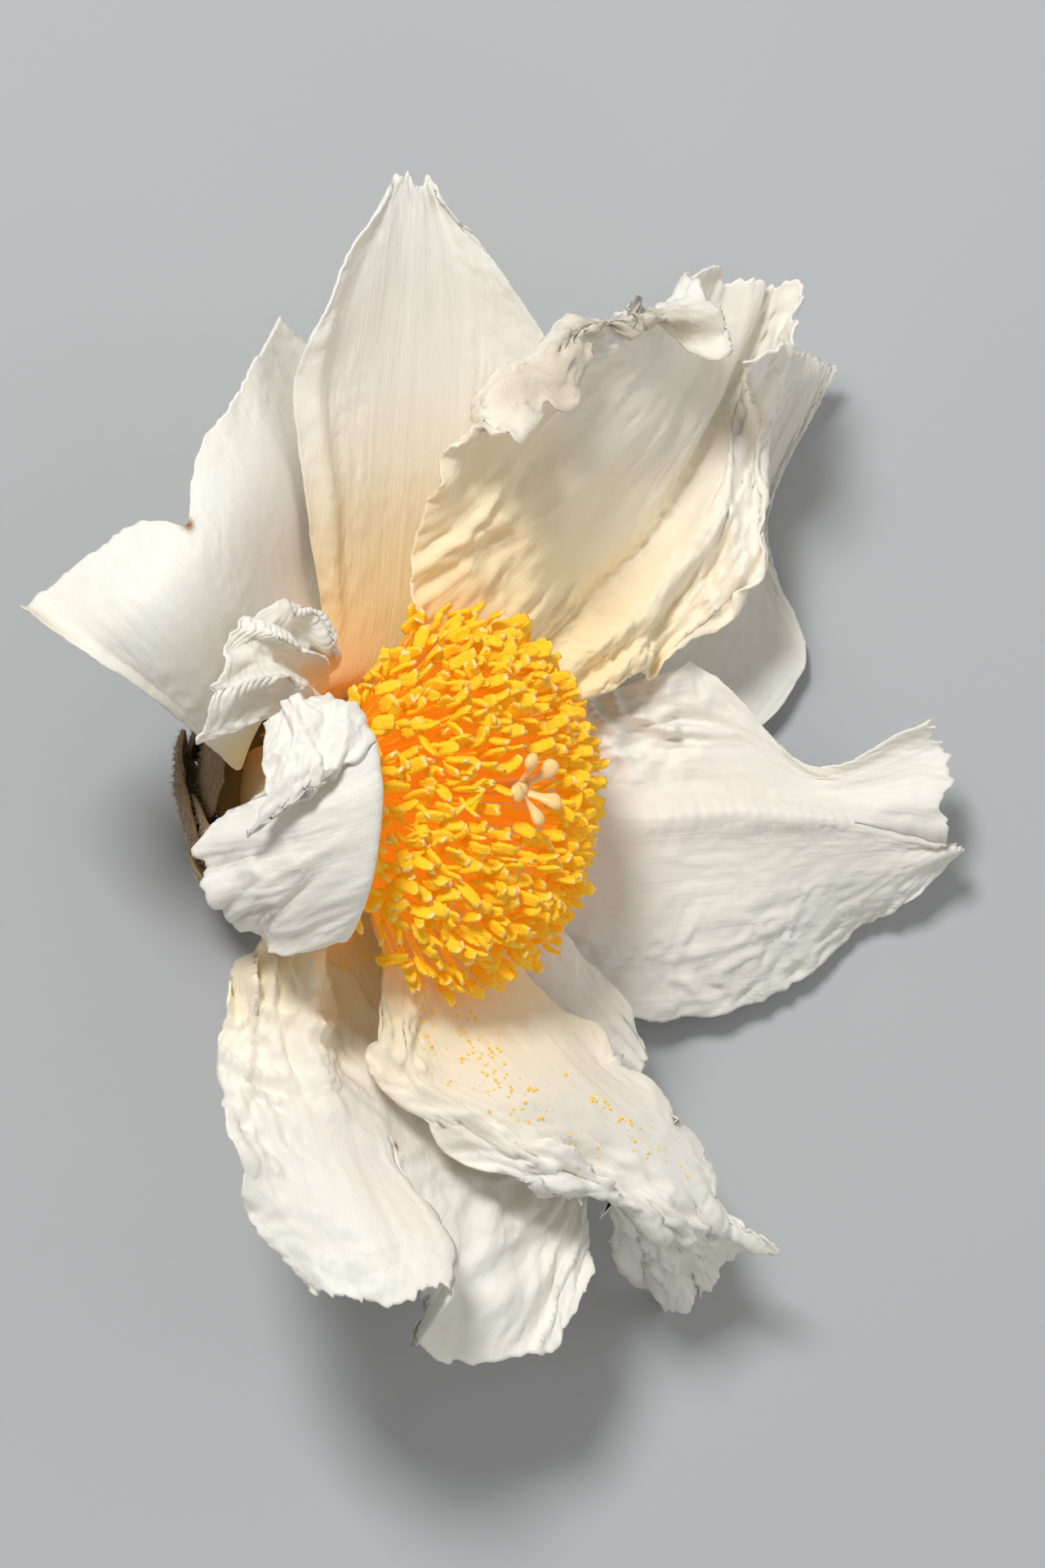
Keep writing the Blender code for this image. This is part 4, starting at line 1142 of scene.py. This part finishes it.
def build_stamens(sizes, colours):
    rng = np.random.default_rng(STAMEN_SEED)
    threads = Heap()
    anthers = Heap()
    shape, faces = anther_shape(sizes)
    thread_faces = ring_faces(FILAMENT_RINGS, FILAMENT_SIDES)
    thick = sizes.filament_thickness / MM / 2
    t = np.linspace(0, 1, FILAMENT_RINGS)[:, None]
    for foot, bend, tip in stamen_places(sizes, rng):
        sway = round_axis(rng.uniform(0, 0.8), rng.uniform(0, 360), 0.0)
        path = foot * (1 - t) ** 2 + 2 * (bend + sway) * t * (1 - t) + tip * t**2
        radii = thick * (1.15 - 0.35 * t[:, 0]) * rng.uniform(0.85, 1.1)
        points = tube_points(path, radii, FILAMENT_SIDES, 0.8)
        tones = np.zeros((len(points), 3))
        tones[:-2, 0] = np.repeat(t[:, 0] ** 1.3, FILAMENT_SIDES)
        tones[-1, 0] = 1
        tones[:, 1] = rng.uniform(0, 0.5)
        threads.add(points, thread_faces, tones)
        ahead = unit(path[-1] - path[-2])
        loose = unit(ahead + 0.4 * ACROSS + rng.normal(0, 0.34, 3))
        across = unit(np.cross(loose, rng.normal(0, 1, 3)))
        axes = np.array([loose, across, np.cross(loose, across)])
        grown = shape * rng.uniform((0.82, 0.85, 0.85), (1.12, 1.12, 1.1))
        curl = rng.uniform(-0.25, 0.55)
        grown = grown + np.array([0, 0, 1]) * (curl * (grown[:, :1] / (sizes.anther_length / MM / 2)) ** 2)
        grown = grown * (1 + rng.normal(0, 0.08, (len(grown), 1)))
        placed = path[-1] + ahead * 0.35 * sizes.anther_length / MM + grown @ axes
        tones = np.zeros((len(placed), 3))
        far = shape[:, 0] / (sizes.anther_length / MM)
        tones[:, 0] = ease((far - 0.38) / 0.1) * rng.choice([0.15, 0.5, 1.0])
        tones[:, 1] = rng.uniform(0, 1)
        anthers.add(placed, faces, tones)
    tissue = filament_tissue(colours)
    new_piece(threads.mesh("filaments"), tissue, ["stamens"])
    new_piece(anthers.mesh("anthers"), pollen_sacs(colours), ["stamens"])
    sleeve = Heap()
    points, faces = lathe(TUBE_PROFILE, TUBE_SIDES)
    sleeve.add(points, faces, (0, 0, 0))
    new_piece(sleeve.mesh("filament_tube"), tissue, ["stamens"])


def lathe(rings, sides):
    """A closed ring of a profile turned round the flower's axis."""
    azimuths = np.arange(sides) * 360 / sides
    points = np.concatenate([round_axis(r, azimuths, h + 0 * azimuths) for r, h in rings])
    faces = []
    count = len(rings)
    for ring in range(count):
        for k in range(sides):
            after = (k + 1) % sides
            start = ring * sides
            above = (ring + 1) % count * sides
            faces.append((start + k, start + after, above + after, above + k))
    return points, faces


def build_pistil(colours):
    heap = Heap()
    heights = np.array(STYLE_HEIGHTS)
    radii = np.array(STYLE_RADII)
    path = round_axis(0.0, 0.0, heights) + 0.25 * np.sin(heights / 9)[:, None] * ACROSS
    heap.add(tube_points(path, radii, 16), ring_faces(len(path), 16), (0, 0, 0))
    t = np.linspace(0, 1, 12)
    for k in range(STIGMA_ARMS):
        azimuth = 360 / STIGMA_ARMS * (k + 0.5)
        out = 0.25 + 3.6 * t**0.9
        rise = STIGMA_HEIGHT + 3.0 * np.sin(t * 1.75) + (0.5 if k % 2 else -0.2) * t
        path = np.array([round_axis(r, azimuth + 12 * s, h) for r, h, s in zip(out, rise, t)])
        radii = 0.5 + 0.5 * ease((t - 0.35) / 0.45) - 0.3 * ease((t - 0.86) / 0.14)
        points = tube_points(path, radii, 14, 0.62)
        heap.add(points, ring_faces(len(path), 14), (0, 0, 0))
    new_piece(heap.mesh("style_and_stigma"), stigma_tissue(colours), ["pistil"])


def scale_grid(profile, turn, seed):
    """A cupped scale of the calyx, wrapped round the axis with one edge over its neighbour."""
    u = np.linspace(-1, 1, SCALE_CELLS + 1)
    v = np.linspace(0, 1, SCALE_CELLS + 1)
    shape = along(np.array(profile), v * (len(profile) - 1))
    halves = along(np.array(SCALE_HALF_ANGLES)[:, None], v * (len(SCALE_HALF_ANGLES) - 1))[:, 0]
    rows = []
    for (radius, height), half, share in zip(shape, halves, v):
        tucks = SCALE_TUCK * u
        wave = 0.25 * ripple(u * 4 + 9, share * 4 + 0 * u, seed)
        dip = 1.1 * share**3 * np.abs(u) ** 2.5
        rows.append(round_axis(radius + tucks + wave - 0.5 * dip, turn - half * u, height - tucks - dip))
    return np.array(rows)


def grow_wool(heap, grid, usual, rng):
    """Hairs on the outer face of one scale, leaning towards its tip. usual is their length in mm."""
    outward = -normals(grid)
    tipward = unit(np.gradient(grid, axis=0))
    faces = ring_faces(4, 3)
    t = np.linspace(0, 1, 4)[:, None]
    for _ in range(HAIRS_PER_SCALE):
        row, column = rng.integers(1, SCALE_CELLS, 2)
        f = rng.uniform(-0.5, 0.5, 2)
        root = grid[row, column] + f[0] * (grid[row + 1, column] - grid[row, column])
        root = root + f[1] * (grid[row, column + 1] - grid[row, column])
        out = outward[row, column]
        lean = unit(tipward[row, column] + 0.45 * out + rng.normal(0, 0.35, 3))
        long = usual * rng.uniform(0.5, 1.2)
        path = root + out * 0.15 + lean * long * t + out * (0.35 * long) * (t - t**2)
        radii = 0.055 * (1.05 - t[:, 0])
        heap.add(tube_points(path, radii, 3), faces, (rng.uniform(0, 1), 0, 0))


def build_calyx(sizes, colours):
    rng = np.random.default_rng(WOOL_SEED)
    hide = scale_hide(colours)
    whole = np.ones((SCALE_CELLS, SCALE_CELLS), bool)
    wool = Heap()
    for kind, profile, turn in (("sepal", SEPAL_PROFILE, SEPAL_TURN), ("bract", BRACT_PROFILE, BRACT_TURN)):
        for k in range(SCALES_ROUND):
            grid = scale_grid(profile, turn + k * 360 / SCALES_ROUND, 50 + k)
            mesh = sheet_mesh(f"{kind}_{k + 1}_scale", grid, whole, SCALE_THICKNESS)
            new_piece(mesh, hide, [f"{kind}_{k + 1}"])
            grow_wool(wool, grid, sizes.hair_length / MM, rng)
    new_extra(wool.mesh("calyx_wool"), wool_hair(colours))


def ring_of(radius, azimuths, height):
    """A ring of points round the axis."""
    return round_axis(radius + 0 * azimuths, azimuths, height + 0 * azimuths)


def build_stalk(colours):
    profile = along(np.array(RECEPTACLE_PROFILE), np.linspace(0, len(RECEPTACLE_PROFILE) - 1, 43))
    azimuths = np.arange(STALK_SIDES) * 360 / STALK_SIDES
    cut_radius, cut_height = profile[0]
    top_height = profile[-1][1]
    rings = [ring_of(1e-3, azimuths, cut_height + 0.12)]
    rings.append(ring_of(0.7, azimuths, cut_height + 0.1))
    rings.append(ring_of(cut_radius * 0.88, azimuths, cut_height + 0.02))
    for radius, height in profile:
        knobs = 0.16 * ripple(azimuths / 360 * 12, height * 0.9 + 0 * azimuths, 61)
        knobs = knobs + 0.07 * ripple(azimuths / 360 * 32, height * 3.1 + 0 * azimuths, 62)
        rings.append(ring_of(radius + knobs, azimuths, height))
    rings.append(ring_of(0.05, azimuths, top_height + 0.1))
    points = np.concatenate(rings)
    ends = np.array([round_axis(0.0, 0.0, cut_height + 0.12), round_axis(0.0, 0.0, top_height + 0.12)])
    tones = np.zeros((len(points) + 2, 3))
    tones[:3 * STALK_SIDES, 0] = 1
    tones[:2 * STALK_SIDES, 1] = 1
    tones[-2] = (1, 1, 0)
    heap = Heap()
    heap.add(np.concatenate([points, ends]), ring_faces(len(rings), STALK_SIDES), tones)
    new_piece(heap.mesh("stalk_stub"), stalk_bark(colours), ["receptacle"])


def build_petals(sizes, colours):
    tissue = petal_tissue(colours)
    fallen = Heap()
    rng = np.random.default_rng(POLLEN_SEED)
    for name, petal in PETALS.items():
        grid, u, v, shading = petal_surface(petal, PETAL_CELLS, sizes.crumple)
        keep = cells_kept(petal, u, v)
        mesh = sheet_mesh(f"{name}_blade", grid, keep, sizes.petal_thickness / MM, shading)
        new_piece(mesh, tissue, [name])
        for place_u, place_v, reach, count in petal.get("pollen", ()):
            drop_pollen(fallen, grid, (place_u, place_v, reach), count, sizes.petal_thickness / MM, rng)
    new_extra(fallen.mesh("fallen_pollen"), pollen_sacs(colours))


def drop_pollen(heap, grid, patch, count, thickness, rng):
    """Crumbs of pollen on a petal's inner face, scattered round a place given as (u, v, reach)."""
    place_u, place_v, reach = patch
    facing = normals(grid)
    rows, columns = np.array(grid.shape[:2]) - 1
    for _ in range(count):
        row = int(np.clip(rng.normal(place_v, reach), 0.1, 0.95) * rows)
        column = int((np.clip(rng.normal(place_u, 2 * reach), -0.95, 0.95) + 1) / 2 * columns)
        ahead = facing[row, column]
        size = rng.uniform(0.07, 0.22)
        start = grid[row, column] + ahead * (thickness / 2)
        path = start + ahead * size * np.array([-0.4, 0.3, 1.0])[:, None]
        points = tube_points(path, size * np.array([0.8, 1.0, 0.6]), 6)
        heap.add(points, ring_faces(3, 6), (0.2, rng.uniform(0, 0.3), 0.0))


def add_light(name, energy, size, place, colour):
    """A square soft light that looks at the flower from a place given in metres."""
    lamp = bpy.data.lights.new(name, "AREA")
    lamp.energy = energy
    lamp.size = size
    lamp.color = colour
    holder = bpy.data.objects.new(name, lamp)
    bpy.context.scene.collection.objects.link(holder)
    holder.location = place
    holder.rotation_euler = (Vector((0, 0, 0.03)) - Vector(place)).to_track_quat("-Z", "Y").to_euler()


def build_stage(colours):
    scene = bpy.context.scene
    bpy.ops.mesh.primitive_circle_add(vertices=64, radius=4.0, fill_type="NGON")
    floor = bpy.context.object
    floor.name = "studio_floor"
    floor.location.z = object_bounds()[0][2]
    floor.data.materials.append(studio_floor(colours))
    floor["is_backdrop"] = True
    scene.world = bpy.data.worlds.new("studio")
    scene.world.use_nodes = True
    sky = scene.world.node_tree.nodes["Background"]
    sky.inputs["Color"].default_value = rgba(linear("#ECE8DF"))
    sky.inputs["Strength"].default_value = 0.36
    add_light("key", 9.0, 0.22, (-0.42, 0.46, 0.86), (1.0, 0.98, 0.95))
    add_light("fill", 1.6, 0.9, (0.75, 0.25, 0.7), (1.0, 0.98, 0.95))
    add_light("rim", 1.0, 0.5, (0.5, -0.7, 0.4), (1.0, 1.0, 1.0))
    camera = bpy.data.cameras.new("camera")
    camera.sensor_fit = "VERTICAL"
    camera.sensor_height = 36
    camera.lens = CAMERA_LENS
    camera.clip_end = 20
    holder = bpy.data.objects.new("camera", camera)
    scene.collection.objects.link(holder)
    turned = Matrix.Translation(laid(CAMERA_PLACE)) @ Matrix(TURN.tolist()).to_4x4()
    holder.matrix_world = turned
    scene.camera = holder
    scene.view_settings.view_transform = "Standard"


class CAMELLIA_OT_petals(bpy.types.Operator):
    """Builds the ten petals"""

    bl_idname = "camellia.petals"
    bl_label = "Petals"

    def execute(self, context):
        build_petals(context.scene.camellia_sizes, context.scene.camellia_colours)
        return {"FINISHED"}


class CAMELLIA_OT_stamens(bpy.types.Operator):
    """Builds the filaments, their joined foot and the anthers"""

    bl_idname = "camellia.stamens"
    bl_label = "Stamens"

    def execute(self, context):
        build_stamens(context.scene.camellia_sizes, context.scene.camellia_colours)
        return {"FINISHED"}


class CAMELLIA_OT_pistil(bpy.types.Operator):
    """Builds the ovary, the style and the arms of the stigma"""

    bl_idname = "camellia.pistil"
    bl_label = "Pistil"

    def execute(self, context):
        build_pistil(context.scene.camellia_colours)
        return {"FINISHED"}


class CAMELLIA_OT_calyx(bpy.types.Operator):
    """Builds the sepals, the bracts and their wool"""

    bl_idname = "camellia.calyx"
    bl_label = "Calyx"

    def execute(self, context):
        build_calyx(context.scene.camellia_sizes, context.scene.camellia_colours)
        return {"FINISHED"}


class CAMELLIA_OT_stalk(bpy.types.Operator):
    """Builds the receptacle and the stub of the stalk"""

    bl_idname = "camellia.stalk"
    bl_label = "Stalk"

    def execute(self, context):
        build_stalk(context.scene.camellia_colours)
        return {"FINISHED"}


class CAMELLIA_OT_stage(bpy.types.Operator):
    """Adds the floor, the lights and the camera"""

    bl_idname = "camellia.stage"
    bl_label = "Stage"

    def execute(self, context):
        build_stage(context.scene.camellia_colours)
        return {"FINISHED"}


OPERATORS = (
    CAMELLIA_OT_petals, CAMELLIA_OT_stamens, CAMELLIA_OT_pistil, CAMELLIA_OT_calyx, CAMELLIA_OT_stalk,
    CAMELLIA_OT_stage,
)


class CAMELLIA_PT_panel(bpy.types.Panel):
    """Lists the flower's sizes, colours and operators"""

    bl_label = "Camellia"
    bl_idname = "CAMELLIA_PT_panel"
    bl_space_type = "VIEW_3D"
    bl_region_type = "UI"
    bl_category = "Camellia"

    def draw(self, context):
        for group in (context.scene.camellia_sizes, context.scene.camellia_colours):
            column = self.layout.column()
            for key in group.bl_rna.properties.keys():
                if key not in ("name", "rna_type"):
                    column.prop(group, key)
        for operator in OPERATORS:
            self.layout.operator(operator.bl_idname)


CLASSES = (CamelliaSizes, CamelliaColours) + OPERATORS + (CAMELLIA_PT_panel,)


def register():
    for cls in CLASSES:
        bpy.utils.register_class(cls)
    bpy.types.Scene.camellia_sizes = bpy.props.PointerProperty(type=CamelliaSizes)
    bpy.types.Scene.camellia_colours = bpy.props.PointerProperty(type=CamelliaColours)


def unregister():
    del bpy.types.Scene.camellia_sizes
    del bpy.types.Scene.camellia_colours
    for cls in reversed(CLASSES):
        bpy.utils.unregister_class(cls)


def main():
    register()
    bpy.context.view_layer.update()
    bpy.ops.camellia.petals()
    bpy.ops.camellia.stamens()
    bpy.ops.camellia.pistil()
    bpy.ops.camellia.calyx()
    bpy.ops.camellia.stalk()
    bpy.ops.camellia.stage()


if __name__ == "__main__":
    main()
